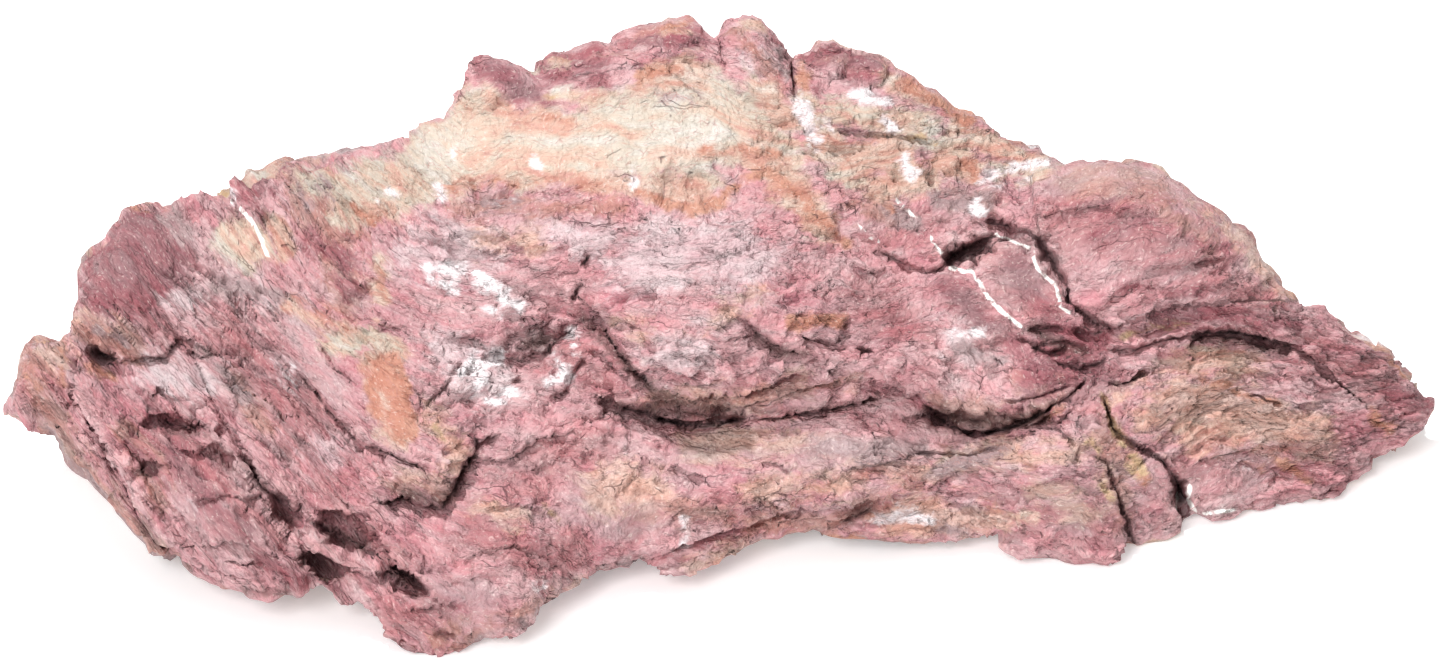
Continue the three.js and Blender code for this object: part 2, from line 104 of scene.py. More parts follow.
SECTIONS = [
    (-114.2, [(43, 19), (39.5, 20), (37.6, 21.5), (37, 23), (37.8, 24.6),
              (40, 25.6), (43, 25.8), (46.5, 24.6), (48.5, 22.3), (47, 20)]),
    (-111.5, [(46, 15.5), (39, 19.6), (34.5, 23.5), (33, 27), (35, 30.5),
              (40, 32.5), (47, 31.8), (56, 26), (60, 21), (55, 16)]),
    (-106, [(52, 11), (39, 13.5), (31, 19), (28, 25), (33, 31),
            (42, 34.5), (50, 32), (62, 23.5), (70, 17), (66, 9)]),
    (-102.5, [(54, 9.5), (38, 11.6), (29, 17), (26, 24), (33, 32),
              (44, 39), (57, 41), (69, 29), (76, 18), (71, 8)]),
    (-95, [(56, 5.5), (32, 4.9), (22, 12), (23, 24), (35, 32.5),
           (46, 41), (64, 46.5), (78, 34), (87, 18), (82, 4.5)]),
    (-84, [(55, 3), (18, 3.5), (13, 12), (20, 22.5), (36, 31.5),
           (46, 36), (67, 47.8), (86, 34.5), (98, 18), (94, 1.5)]),
    (-64.5, [(54, 1), (12, 5.6), (10, 13), (22, 23.5), (38, 33),
             (52, 40), (71, 52.5), (90, 38.5), (103, 20), (99, 0)]),
    (-45, [(54, 0), (0.5, 0), (4, 11), (19, 22), (38, 34.5),
           (58, 50), (74, 58.5), (94, 43.5), (108, 22), (104, 0)]),
    (-26, [(58, 0), (12, 4.5), (15, 12.2), (27, 22.2), (42, 34),
           (57, 52), (82, 65), (102, 49), (114, 25), (109, 0)]),
    (-6, [(62, 1), (27, 3.8), (27.5, 12), (33, 22), (37.5, 36),
          (56, 50.5), (88, 68.6), (107, 52), (118, 26), (113, 0)]),
    (15.5, [(62, 2.5), (31, 4.8), (30, 13), (37, 21), (42, 33),
            (55, 44.5), (86, 64.5), (104, 49), (114, 24), (110, 0)]),
    (36, [(62, 1.5), (33, 2.4), (34, 10), (39, 18), (44, 27.5),
          (56, 39.5), (81, 56.7), (99, 42), (108, 20), (104, 0)]),
    (54, [(62, 0), (30.4, 0), (31, 9), (33, 19), (44, 26),
          (58, 39), (75, 48.4), (93, 34.5), (102, 17), (98, 0)]),
    (65, [(64, 0), (34.8, 0), (35, 9), (40, 17.5), (48, 25.5),
          (58, 38), (74, 49.6), (92, 35.5), (101, 17), (97, 0)]),
    (76, [(66, 0), (43, 1.2), (44, 9), (49, 17), (53, 25),
          (58, 35), (71, 44.2), (88, 31), (96, 15), (92, 0)]),
    (90.5, [(66, 0), (49, 0.1), (50, 7), (53, 13), (57, 19.5),
            (61, 26.5), (67, 29.9), (80, 20), (87, 9), (83, 0)]),
    (103.5, [(68, 1), (58, 1.6), (57.5, 6), (59, 10.5), (61, 14.5),
             (63, 18.5), (67, 20.1), (76, 13), (80, 6.5), (77, 1)]),
    (114.2, [(69, 6.2), (67.3, 6.6), (66.6, 7.2), (66.4, 8), (66.8, 8.8),
             (67.5, 9.5), (68.5, 9.8), (70, 9), (70.6, 8), (70.2, 6.9)]),
]
STATIONS = 700                                            # rings along the stone
SPAN_STEPS = (12, 36, 44, 54, 54, 70, 30, 34, 24, 14)     # ring points between section points
MOST_TRIANGLES = 198_000                                  # in the one piece

# The stone's outline in the picture.
TOP_EDGE = [
    (4, 403), (8, 391), (16, 376), (18, 352), (23, 339), (43, 335), (66, 335), (70, 312),
    (75, 294), (76, 269), (83, 252), (102, 237), (112, 219), (129, 206), (147, 200), (173, 203),
    (187, 193), (199, 190), (214, 193), (220, 187), (233, 175), (260, 167), (285, 155),
    (318, 155), (343, 147), (364, 145), (389, 141), (400, 135), (418, 124), (446, 109),
    (456, 92), (462, 78), (464, 60), (473, 54.5), (504, 57), (519, 64), (535, 66), (541, 57),
    (553, 49), (584, 44), (596, 38), (617, 38), (623, 29), (639, 22), (660, 20), (675, 17),
    (685, 12), (697, 18), (706, 26), (717, 37), (720, 41), (723, 23), (727, 16), (743, 13),
    (760, 16), (764, 23), (776, 27.5), (781, 37), (789, 58), (792, 70), (796, 49), (813, 43),
    (833, 37), (850, 47), (880, 53), (901, 66), (922, 81), (944, 95), (968, 110), (984, 115),
    (996, 129), (1014, 141), (1039, 144), (1054, 156), (1063, 164), (1075, 160), (1106, 159),
    (1134, 158), (1158, 164), (1176, 176), (1193, 190), (1209, 205.6), (1235, 220), (1254, 235),
    (1268, 257), (1280, 278), (1296, 294), (1308, 302), (1324, 304), (1338, 316), (1347, 325),
    (1364, 329), (1369, 339), (1383, 342), (1390, 353), (1402, 356), (1411, 372), (1423, 389),
    (1437, 399),
]
BOTTOM_EDGE = [
    (4, 413), (10, 419), (34, 434), (55, 442), (64, 459), (80, 477), (101, 499), (119, 517),
    (132, 535), (147, 552), (167, 563), (178, 561), (187, 569), (202, 583), (227, 589),
    (254, 600), (269, 603), (291, 598), (309, 592), (320, 589), (337, 603), (358, 606),
    (372, 615), (380, 630), (395, 647), (419, 654), (441, 658), (459, 652), (480, 641),
    (516, 638), (535, 627), (538, 615), (559, 596.5), (584, 581), (614, 569), (645, 563),
    (666, 577), (691, 577), (721, 563), (752, 546), (767, 540), (807, 532), (838, 538),
    (876, 541), (922, 544.5), (971, 540), (999, 538), (1002, 553.6), (1014, 560), (1060, 561),
    (1075, 567), (1120, 566), (1121, 549), (1140, 547.5), (1167, 541), (1181, 534), (1183, 521.5),
    (1195, 515), (1210, 521.5), (1228, 521.5), (1240, 515.6), (1268, 508.6), (1296, 503),
    (1319, 503), (1338, 499), (1348, 490), (1350, 482), (1368, 475), (1369, 461), (1393, 454),
    (1406, 445.5), (1421, 434), (1427, 423), (1434, 412), (1437, 403),
]

# ---------------------------------------------------------------- the relief of the front
# Pixels of the picture, and mm out of the leaning front. Lines run left to right.

# Swellings: (u, v), radii, turn in degrees, height. Hollows have a height below zero.
LUMPS = [
    ((700, 300), (118, 74), 0, 4.5), ((930, 345), (72, 42), 0, 3.6), ((400, 395), (52, 66), -12, 4.0),
    ((150, 262), (64, 52), 0, 2.6), ((180, 378), (48, 24), 0, 3.2), ((1140, 238), (104, 56), 0, 3.4),
    ((720, 478), (150, 36), -4, 3.6), ((500, 560), (90, 44), -20, 3.2), ((1060, 508), (54, 50), 0, 3.0),
    ((1270, 405), (96, 40), 10, 2.4), ((655, 440), (17, 9), 0, 1.6), ((752, 34), (26, 26), 0, 2.0),
    ((500, 78), (34, 24), 20, 2.2), ((684, 160), (38, 13), 8, 1.2), ((322, 543), (24, 7), 40, 5.0),
    ((552, 240), (46, 20), 8, 1.8), ((815, 305), (46, 30), 10, 1.8), ((620, 275), (32, 22), 0, 1.6),
    ((225, 500), (62, 44), 48, 4.2), ((480, 215), (60, 18), -12, 1.8), ((1000, 296), (24, 34), -40, 1.6),
    ((98, 330), (36, 18), 0, 2.4), ((660, 345), (36, 34), 0, 1.8), ((745, 345), (30, 26), 20, -1.6),
    ((346, 532), (32, 12), 22, -8.0), ((322, 564), (22, 8), 26, -9.0), ((284, 514), (24, 12), 42, -6.0),
    ((104, 354), (10, 5), 15, -6.0), ((158, 393), (11, 4), 0, -2.5), ((180, 424), (30, 5), 8, -5.0),
    ((146, 470), (20, 8), -15, -2.6), ((220, 456), (15, 7), 30, -5.0), ((162, 518), (11, 6), 10, -1.2),
    ((404, 580), (24, 7), 28, -6.0), ((534, 342), (36, 20), -22, -3.6), ((968, 254), (24, 9), -24, -9.0),
    ((866, 350), (8, 5), 0, -3.0), ((1181, 500), (6, 17), -10, -8.0), ((690, 414), (48, 9), 3, -6.5),
    ((965, 419), (48, 9), 2, -7.0), ((600, 470), (50, 40), 0, -1.5), ((540, 330), (70, 46), 0, -1.2),
    ((1016, 236), (34, 9), 30, -4.0), ((1052, 264), (9, 24), -25, -4.0),
]

# The foot of the orange slab, which is both a ledge and a crack.
SLAB_FOOT = [(297, 373), (319, 396), (335, 418), (351, 436), (366, 446), (381, 450), (400, 459), (428, 471)]

# Ledges: step in mm, how far the lip swells back above the line in pixels, and the line. The
# stone above the line stands out over the stone below it.
LEDGES = [
    (7.5, 40, [(600, 404), (636, 410), (660, 418), (690, 427), (720, 423), (752, 418)]),
    (3.6, 24, [(735, 420), (783, 418), (828, 410), (866, 401), (890, 396)]),
    (8.5, 46, [(862, 374), (892, 392), (916, 396), (932, 411), (959, 432), (996, 431), (1030, 424),
               (1060, 410)]),
    (5.5, 36, [(580, 300), (600, 325), (615, 345), (630, 367), (657, 391), (700, 401), (746, 394),
               (783, 380), (828, 361)]),
    (9.0, 44, [(372, 508), (400, 496), (420, 503), (439, 508), (452, 488), (463, 468), (478, 442),
               (502, 430)]),
    (4.6, 36, [(176, 335), (192, 352), (206, 385), (226, 420), (246, 455), (262, 486), (290, 508),
               (316, 520), (345, 538), (387, 560), (424, 588)]),
    (3.6, 24, [(300, 540), (318, 556), (352, 570), (392, 578), (430, 600)]),
    (2.4, 30, SLAB_FOOT),
    (4.4, 30, [(640, 560), (690, 542), (745, 525), (790, 513), (840, 509), (880, 502), (935, 486)]),
    (3.0, 20, [(588, 346), (604, 355), (619, 373), (640, 390)]),
    (2.6, 22, [(657, 398), (694, 412), (731, 408), (767, 400), (807, 388), (850, 374)]),
    (2.4, 16, [(586, 394), (615, 402), (636, 408)]),
    (4.0, 45, [(1071, 309), (1095, 321), (1115, 328), (1143, 318), (1161, 309), (1198, 306), (1244, 301)]),
    (4.5, 40, [(1150, 358), (1187, 346), (1204, 333), (1240, 333), (1268, 340), (1296, 352)]),
    (2.2, 12, [(1031, 346), (1046, 356), (1069, 344)]), (2.0, 12, [(1066, 358), (1087, 366), (1112, 356)]),
    (1.8, 12, [(1114, 385), (1134, 379), (1146, 370)]),
    (4.2, 26, [(446, 330), (476, 339), (495, 351), (519, 358), (547, 351), (560, 338)]),
    (2.4, 16, [(469, 453), (484, 458), (507, 461), (522, 450), (535, 437), (565, 434), (580, 426)]),
    (4.0, 30, [(82, 348), (100, 358), (124, 363), (146, 360), (166, 358), (178, 338), (190, 338)]),
    (2.0, 12, [(185, 336), (198, 344), (215, 350)]), (1.8, 10, [(184, 350), (205, 356), (222, 352)]),
    (3.2, 26, [(118, 430), (146, 470), (158, 505), (172, 540)]),
    (5.0, 24, [(66, 380), (86, 411), (107, 449), (123, 481), (140, 515), (172, 558)]),
    (2.6, 24, [(205, 545), (235, 540), (262, 552), (290, 556)]),
    (2.0, 18, [(190, 500), (228, 496), (262, 500)]), (2.0, 18, [(170, 448), (196, 452), (226, 440)]),
    (1.6, 14, [(180, 570), (225, 572), (268, 585)]), (2.2, 16, [(669, 462), (688, 471), (706, 482)]),
    (1.6, 12, [(760, 462), (776, 462), (790, 472)]), (2.2, 18, [(700, 505), (722, 510), (742, 522)]),
    (1.6, 14, [(762, 498), (776, 510), (800, 512)]), (1.4, 12, [(720, 440), (740, 436), (760, 440)]),
    (1.8, 16, [(840, 470), (880, 464), (916, 456)]), (1.4, 10, [(609, 234), (625, 226)]),
    (1.4, 10, [(638, 213), (649, 222)]),
    (2.4, 18, [(655, 356), (665, 368), (680, 378), (697, 375), (706, 358), (716, 338), (726, 326)]),
    (2.2, 16, [(588, 314), (619, 328), (636, 325)]),
    (3.6, 24, [(736, 312), (761, 336), (780, 350), (806, 352)]),
    (2.8, 18, [(796, 335), (838, 345), (851, 315)]), (1.6, 10, [(773, 275), (789, 284)]),
    (1.8, 12, [(470, 246), (488, 253), (502, 249)]), (1.8, 14, [(506, 240), (530, 252), (546, 242)]),
    (1.8, 14, [(700, 245), (722, 256), (745, 250)]), (1.6, 12, [(848, 262), (868, 272), (890, 268)]),
    (1.6, 14, [(380, 325), (404, 332), (410, 320)]), (2.0, 16, [(414, 380), (424, 404), (416, 430)]),
    (1.4, 14, [(1000, 500), (1013, 496), (1063, 474), (1096, 475)]),
    (1.6, 16, [(1046, 542), (1080, 538), (1119, 536)]), (1.4, 12, [(505, 600), (530, 590), (552, 580)]),
    (1.8, 16, [(400, 612), (430, 606), (470, 600)]), (1.6, 14, [(460, 560), (500, 548), (540, 545)]),
    (1.4, 14, [(480, 510), (520, 505), (560, 512)]), (1.6, 16, [(1210, 420), (1260, 412), (1330, 400)]),
    (1.4, 14, [(1190, 460), (1240, 450), (1300, 440)]), (1.4, 12, [(1250, 370), (1300, 376), (1340, 392)]),
    (1.6, 14, [(1140, 270), (1193, 262), (1226, 255)]), (1.4, 14, [(1030, 215), (1090, 205), (1140, 210)]),
]

# Cracks that gape: width in pixels, depth in mm, and the line.
CRACKS = [
    (6, 4.5, [(987, 219), (1006, 224), (1016, 230), (1028, 229), (1039, 238), (1046, 250), (1056, 266),
              (1066, 284)]),
    (5, 4.0, [(1066, 284), (1070, 305), (1095, 321), (1116, 329)]),
    (6, 4.0, [(1110, 350), (1135, 350), (1160, 341), (1190, 336)]),
    (10, 6.0, [(1190, 338), (1206, 332), (1240, 333), (1268, 340), (1294, 350)]),
    (5, 3.0, [(1294, 349), (1324, 370), (1350, 392), (1364, 403)]), (5, 3.0, [(1145, 336), (1179, 328)]),
    (4, 2.0, [(1251, 395), (1280, 405)]),
    (6, 5.0, [(1103, 398), (1109, 416), (1114, 430), (1129, 441), (1146, 451), (1162, 461), (1171, 473)]),
    (10, 7.0, [(1171, 473), (1179, 486), (1184, 505), (1184, 518)]),
    (4, 3.0, [(1094, 456), (1106, 462), (1116, 489), (1121, 506), (1126, 519), (1129, 531), (1134, 549)]),
    (8, 5.0, [(930, 408), (950, 426), (975, 434), (1004, 429), (1030, 420), (1050, 408)]),
    (5, 3.5, [(1046, 410), (1066, 399), (1084, 384)]), (4, 2.5, [(1006, 402), (1040, 397), (1070, 386)]),
    (4, 3.0, [(1018, 340), (1040, 345), (1060, 341), (1084, 346)]),
    (4, 3.0, [(1050, 362), (1080, 369), (1104, 361)]),
    (9, 6.0, [(652, 416), (670, 422), (692, 425), (716, 423), (742, 419)]),
    (4, 2.0, [(598, 402), (626, 408), (652, 416)]),
    (4, 2.0, [(745, 418), (783, 418), (828, 410), (880, 398)]), (5, 3.0, [(590, 252), (584, 266)]),
    (5, 3.0, [(580, 284), (573, 300)]),
    (4, 2.5, [(583, 300), (600, 322), (614, 345), (630, 366), (650, 386)]),
    (6, 3.0, [(585, 359), (572, 376), (566, 392), (554, 398)]),
    (5, 3.5, [(71, 386), (86, 411), (100, 432), (107, 449), (114, 466), (123, 481), (128, 496),
              (140, 515), (156, 540), (172, 558)]),
    (7, 5.0, [(93, 352), (105, 355), (116, 359)]), (4, 2.5, [(124, 361), (146, 358), (166, 358)]),
    (4, 2.4, [(720, 38), (721, 50), (724, 64)]), (5, 3.5, [(790, 56), (792, 70), (795, 92)]),
    (5, 2.5, [(837, 129), (868, 133), (891, 134), (935, 141)]),
    (3, 1.5, [(799, 150), (816, 154), (828, 167)]), (3, 1.5, [(837, 180), (843, 198), (856, 209)]),
    (6, 3.0, [(880, 251), (897, 260), (910, 268), (925, 273), (938, 270), (946, 263)]),
    (8, 5.0, [(946, 262), (958, 252), (974, 244), (994, 236)]),
    (4, 2.0, [(970, 270), (985, 256), (997, 241)]), (4, 2.0, [(916, 453), (971, 456), (999, 446)]),
    (4, 2.0, [(1038, 425), (1061, 431), (1075, 445)]), (4, 2.0, [(320, 346), (335, 369), (356, 384)]),
    (4, 2.6, SLAB_FOOT),
    (4, 2.0, [(394, 328), (403, 330), (409, 321)]), (4, 2.0, [(449, 383), (434, 398), (427, 403)]),
    (5, 3.0, [(435, 631), (455, 632)]), (4, 2.0, [(401, 642), (414, 645)]),
    (7, 5.0, [(390, 566), (408, 576), (424, 589)]), (4, 2.0, [(1193, 264), (1223, 257)]),
    (6, 4.0, [(1028, 330), (1046, 327), (1062, 328)]), (6, 4.0, [(1076, 330), (1088, 336), (1104, 330)]),
    (6, 4.0, [(1030, 346), (1048, 354), (1064, 348)]), (5, 3.0, [(1108, 386), (1130, 381), (1146, 371)]),
    (4, 2.5, [(240, 455), (262, 486), (284, 508)]), (5, 3.0, [(140, 424), (170, 424), (206, 434)]),
    (4, 2.0, [(230, 560), (246, 566), (262, 562)]), (5, 3.0, [(453, 488), (463, 468), (474, 446)]),
    (4, 2.0, [(556, 341), (570, 330), (585, 318)]), (4, 2.0, [(740, 314), (760, 334), (782, 348)]),
    (4, 2.0, [(798, 336), (836, 344), (849, 318)]), (4, 2.0, [(862, 350), (872, 352)]),
    (4, 2.5, [(826, 532), (846, 522), (872, 508)]), (3, 1.5, [(655, 442), (662, 448)]),
    (4, 2.0, [(1044, 422), (1060, 424), (1070, 412)]),
]

# The foot of the right lobe. Left of the second point there is no lobe.
LOBE_FOOT = [
    (0, -100), (985, -100), (1040, 240), (1071, 309), (1115, 328), (1161, 309), (1198, 306), (1244, 301),
    (1320, 300),
]

# ---------------------------------------------------------------- colours of the front
# Where each colour lies in the picture: strokes of (half width, line), in pixels. The rest of
# the stone is mauve.

CREAM = [
    (17, [(312, 186), (356, 178), (400, 164)]), (30, [(352, 200), (400, 186), (430, 172)]),
    (40, [(440, 160), (480, 140), (520, 150), (600, 145), (660, 136), (720, 130)]),
    (26, [(478, 108), (500, 132)]), (26, [(600, 120), (690, 100), (712, 96)]),
    (18, [(745, 106), (770, 136), (792, 160)]), (10, [(648, 180), (690, 184), (712, 180)]),
    (16, [(838, 112), (880, 118), (925, 124)]), (18, [(896, 150), (908, 180)]),
    (18, [(804, 112), (820, 132)]), (14, [(925, 140), (962, 150)]), (12, [(836, 176), (862, 182)]),
    (24, [(234, 240), (252, 246)]), (10, [(279, 226), (285, 252)]),
    (13, [(330, 342), (372, 338), (394, 350)]), (9, [(752, 78), (766, 94)]),
    (12, [(1000, 172), (1040, 168)]), (12, [(560, 96), (600, 100)]),
]
PEACH = [
    (9, [(486, 92), (505, 112)]), (8, [(540, 112), (565, 122)]), (6, [(664, 28), (692, 24)]),
    (10, [(512, 118), (570, 128)]), (12, [(764, 92), (790, 120)]),
    (10, [(660, 158), (700, 150), (730, 158)]), (4, [(440, 184), (500, 178), (560, 180)]),
    (14, [(585, 184), (640, 186), (700, 196)]), (14, [(940, 164), (972, 172)]),
    (13, [(890, 76), (920, 96)]), (18, [(822, 146), (850, 158), (900, 150)]),
    (16, [(880, 190), (930, 180)]), (14, [(960, 130), (1030, 160)]), (11, [(276, 226), (284, 252)]),
    (10, [(370, 206), (390, 214)]), (9, [(560, 62), (540, 62)]), (8, [(744, 24), (764, 26)]),
    (11, [(378, 262), (380, 296)]), (12, [(950, 462), (1000, 450)]), (10, [(1196, 352), (1240, 360)]),
    (20, [(756, 150), (790, 186), (822, 222)]), (12, [(980, 132), (1020, 152)]),
    (8, [(1010, 515), (1030, 515)]), (12, [(640, 84), (700, 76)]),
    (19, [(376, 366), (386, 396), (398, 430)]), (9, [(290, 306), (330, 326), (352, 330)]),
    (10, [(690, 60), (660, 72)]), (10, [(1184, 424), (1236, 436)]),
]
ORANGE = [
    (7, [(640, 192), (661, 202), (690, 210), (715, 204), (738, 184), (765, 170), (790, 184), (812, 210),
         (846, 244)]),
    (4, [(700, 152), (740, 150), (780, 156)]), (16, [(388, 366), (398, 396), (404, 430)]),
    (8, [(372, 380), (378, 412)]), (9, [(908, 84), (936, 98), (966, 122)]), (7, [(132, 206), (166, 204)]),
    (6, [(968, 164), (974, 176)]), (3, [(440, 188), (500, 184), (560, 182), (605, 186)]),
    (6, [(1046, 414), (1062, 410)]), (6, [(548, 116), (568, 122)]), (7, [(800, 66), (806, 90)]),
    (6, [(690, 20), (668, 28)]), (4, [(1203, 379), (1240, 392), (1278, 405)]),
    (4, [(1272, 457), (1311, 480)]), (3, [(1246, 461), (1262, 467)]), (7, [(1372, 414), (1390, 430)]),
    (5, [(1132, 458), (1146, 482)]), (8, [(792, 326), (838, 320)]), (4, [(380, 268), (384, 296)]),
    (5, [(24, 372), (40, 388)]), (4, [(88, 366), (112, 378)]), (4, [(886, 196), (892, 210)]),
    (4, [(60, 352), (64, 384)]), (6, [(640, 76), (680, 70)]), (5, [(350, 206), (372, 222)]),
]
OCHRE = [
    (5, [(1104, 398), (1116, 432), (1132, 452), (1142, 470)]), (4, [(1129, 462), (1134, 478)]),
    (3, [(1124, 334), (1160, 328), (1190, 322)]), (4, [(1090, 440), (1100, 452)]),
    (3, [(546, 96), (556, 98)]), (3, [(908, 136), (934, 140)]), (4, [(1104, 484), (1112, 498)]),
    (4, [(436, 424), (442, 440)]), (4, [(545, 506), (560, 524)]),
]
WHITE = [
    (8, [(444, 268), (462, 266)]), (6, [(446, 282), (452, 292)]), (9, [(480, 280), (500, 292), (518, 308)]),
    (5, [(484, 308), (502, 317)]), (6, [(428, 268), (432, 282)]), (9, [(466, 368), (494, 358)]),
    (8, [(494, 402), (508, 396)]), (6, [(474, 390), (482, 380)]), (7, [(570, 332), (574, 336)]),
    (6, [(550, 384), (556, 384)]), (5, [(575, 352), (579, 357)]), (6, [(953, 337), (980, 333)]),
    (9, [(800, 106), (806, 126), (816, 140)]), (7, [(560, 362), (568, 372)]), (6, [(826, 124), (832, 132)]),
    (6, [(884, 118), (893, 126)]), (8, [(858, 94), (884, 100)]), (7, [(904, 160), (912, 176)]),
    (5, [(980, 181), (1010, 170), (1044, 164)]), (3, [(1000, 186), (1030, 178)]),
    (4, [(974, 204), (980, 214)]), (5, [(226, 196), (232, 201)]), (4, [(452, 150), (455, 158)]),
    (4, [(530, 160), (541, 168)]), (5, [(436, 188), (444, 196)]), (6, [(880, 520), (900, 512), (930, 518)]),
    (3, [(272, 360), (296, 384)]), (4, [(630, 172), (633, 182)]), (3, [(688, 520), (684, 530)]),
    (4, [(378, 196), (392, 192)]), (3, [(685, 514), (684, 544)]), (3, [(534, 588), (544, 586)]),
]
# Lilac: partly the stone's own colour, partly painted highlight on facets that face the light.
LILAC_AND_HIGHLIGHTS = [
    (40, [(640, 262), (700, 246), (740, 262)]), (30, [(425, 252), (470, 250)]),
    (24, [(452, 350), (490, 380)]), (20, [(150, 366), (204, 384)]), (16, [(965, 344), (960, 330)]),
    (16, [(196, 300), (170, 296)]), (16, [(204, 494), (236, 508)]), (18, [(660, 360), (700, 345)]),
    (22, [(560, 230), (600, 236)]), (12, [(274, 374), (300, 400)]), (14, [(300, 430), (330, 460)]),
    (14, [(920, 512), (975, 514)]), (12, [(744, 36), (758, 76)]), (12, [(222, 288), (270, 294)]),
]
GREY = [
    (9, [(216, 286), (244, 288), (280, 296)]), (11, [(526, 334), (546, 344)]),
    (8, [(960, 350), (992, 362)]), (6, [(666, 96), (696, 102)]), (10, [(936, 196), (960, 204), (990, 200)]),
    (8, [(886, 208), (912, 224)]), (6, [(300, 190), (308, 206)]),
    (14, [(820, 446), (860, 454), (920, 448)]), (5, [(322, 184), (334, 204)]),
    (5, [(478, 640), (520, 626), (545, 612)]), (6, [(560, 592), (600, 574), (640, 560)]),
    (6, [(776, 50), (788, 80)]), (10, [(172, 214), (184, 234)]), (9, [(222, 372), (244, 396)]),
    (10, [(940, 470), (1000, 452)]), (5, [(936, 528), (966, 532)]), (8, [(96, 326), (120, 340)]),
    (7, [(486, 204), (516, 200)]),
]
MAROON = [
    (7, [(130, 440), (156, 474)]), (6, [(150, 416), (200, 426)]), (34, [(112, 268), (160, 262)]),
    (20, [(128, 226), (150, 224)]), (20, [(96, 296), (140, 298)]), (12, [(474, 64), (510, 80), (544, 104)]),
    (12, [(586, 60), (606, 96)]), (11, [(604, 46), (650, 38), (706, 40)]), (10, [(640, 62), (700, 60)]),
    (11, [(556, 76), (600, 66)]), (10, [(548, 64), (580, 54)]), (11, [(722, 94), (745, 114)]),
    (14, [(806, 56), (840, 52), (884, 66), (924, 90)]), (7, [(811, 80), (818, 88)]),
    (5, [(832, 74), (868, 76)]), (10, [(946, 286), (972, 308), (1003, 333), (1025, 355)]),
    (9, [(236, 184), (285, 166), (320, 156)]), (9, [(230, 196), (262, 190)]),
    (8, [(1000, 416), (1090, 372)]), (24, [(1040, 372), (1090, 348)]), (16, [(1070, 376), (1110, 374)]),
    (7, [(1046, 414), (1064, 416)]), (12, [(312, 240), (340, 256), (350, 290)]),
    (14, [(1012, 262), (1042, 302)]), (15, [(170, 452), (240, 530)]), (10, [(260, 560), (330, 590)]),
    (12, [(1390, 392), (1426, 402)]), (7, [(775, 40), (786, 70)]), (7, [(1176, 240), (1230, 246)]),
    (6, [(1090, 236), (1150, 222)]), (6, [(1060, 214), (1130, 200)]), (6, [(1100, 284), (1200, 292)]),
    (11, [(1160, 318), (1240, 318), (1296, 326)]), (14, [(1050, 330), (1100, 340)]),
]
ROSE = [
    (40, [(1070, 220), (1120, 222), (1190, 250)]), (28, [(1200, 272), (1262, 300)]),
    (20, [(1300, 350), (1384, 384)]), (26, [(1000, 268), (1040, 304)]), (16, [(1380, 405), (1424, 402)]),
    (22, [(1030, 510), (1092, 520)]), (20, [(1040, 404), (1090, 394)]), (30, [(168, 440), (262, 530)]),
    (15, [(22, 398), (62, 404)]), (18, [(330, 490), (420, 590)]), (30, [(520, 470), (600, 446)]),
    (30, [(860, 300), (900, 330)]), (14, [(880, 240), (930, 230)]), (34, [(480, 530), (560, 560)]),
    (14, [(1160, 500), (1178, 525)]), (14, [(150, 325), (166, 345)]), (30, [(240, 340), (300, 420)]),
    (22, [(390, 620), (440, 600)]), (22, [(960, 300), (1000, 330)]), (20, [(1180, 470), (1300, 470)]),
    (24, [(560, 350), (600, 380)]), (16, [(640, 520), (760, 504)]),
]
BUFF = [
    (15, [(1040, 490), (1090, 512)]), (16, [(760, 490), (860, 482)]), (18, [(1150, 410), (1200, 440)]),
    (26, [(598, 492), (652, 486)]), (17, [(695, 446), (740, 440), (790, 440)]),
    (20, [(880, 516), (990, 520)]), (26, [(1180, 400), (1240, 410), (1310, 432)]),
    (17, [(1184, 366), (1252, 366)]), (14, [(1158, 392), (1212, 402)]), (14, [(84, 322), (122, 338)]),
    (12, [(1236, 226), (1256, 258), (1272, 290)]), (12, [(480, 240), (530, 240)]),
    (9, [(700, 330), (762, 290)]), (10, [(616, 320), (642, 332)]), (16, [(26, 352), (62, 350)]),
    (9, [(52, 436), (84, 474), (120, 512), (160, 552)]), (12, [(1010, 455), (1080, 452)]),
    (10, [(655, 396), (740, 398), (800, 384)]), (12, [(700, 566), (740, 552)]),
    (10, [(560, 600), (590, 586)]), (12, [(430, 410), (460, 460)]), (10, [(404, 474), (444, 484)]),
    (9, [(270, 168), (320, 170)]), (8, [(104, 248), (122, 256)]), (10, [(1100, 440), (1110, 490)]),
    (5, [(1190, 194), (1214, 214)]), (7, [(1120, 390), (1178, 368)]), (10, [(480, 506), (520, 520)]),
    (12, [(860, 470), (930, 470)]),
]
# Brown: partly the stone's own colour, partly painted shade in the recesses and under the overhangs.
BROWN_AND_SHADE = [
    (12, [(856, 206), (900, 216)]), (20, [(306, 196), (334, 250), (346, 300)]),
    (10, [(446, 206), (540, 205), (620, 211)]), (11, [(396, 484), (444, 492)]),
    (10, [(936, 196), (990, 204)]), (9, [(650, 400), (720, 402), (780, 394), (850, 382)]),
    (11, [(1090, 192), (1150, 196), (1206, 238)]), (14, [(940, 404), (1000, 414), (1044, 406)]),
    (6, [(1200, 444), (1330, 452)]), (12, [(84, 470), (120, 520), (160, 556)]),
    (13, [(28, 362), (42, 400), (62, 430)]), (12, [(124, 430), (150, 468), (164, 500)]),
    (11, [(430, 640), (500, 626), (550, 604)]), (9, [(860, 474), (940, 462), (1000, 448)]),
    (12, [(752, 526), (830, 524), (870, 504)]), (9, [(1104, 430), (1118, 470), (1128, 520)]),
    (8, [(736, 30), (764, 60), (780, 92)]), (11, [(238, 384), (262, 424)]), (10, [(336, 206), (362, 232)]),
    (15, [(84, 330), (132, 346)]), (12, [(650, 512), (724, 512)]),
    (12, [(1070, 176), (1110, 168), (1160, 176)]), (12, [(826, 446), (884, 452)]),
    (12, [(470, 208), (560, 206)]), (12, [(1020, 384), (1080, 372)]), (9, [(640, 160), (660, 150)]),
    (12, [(560, 54), (600, 46), (680, 24)]), (14, [(800, 52), (880, 60)]),
]
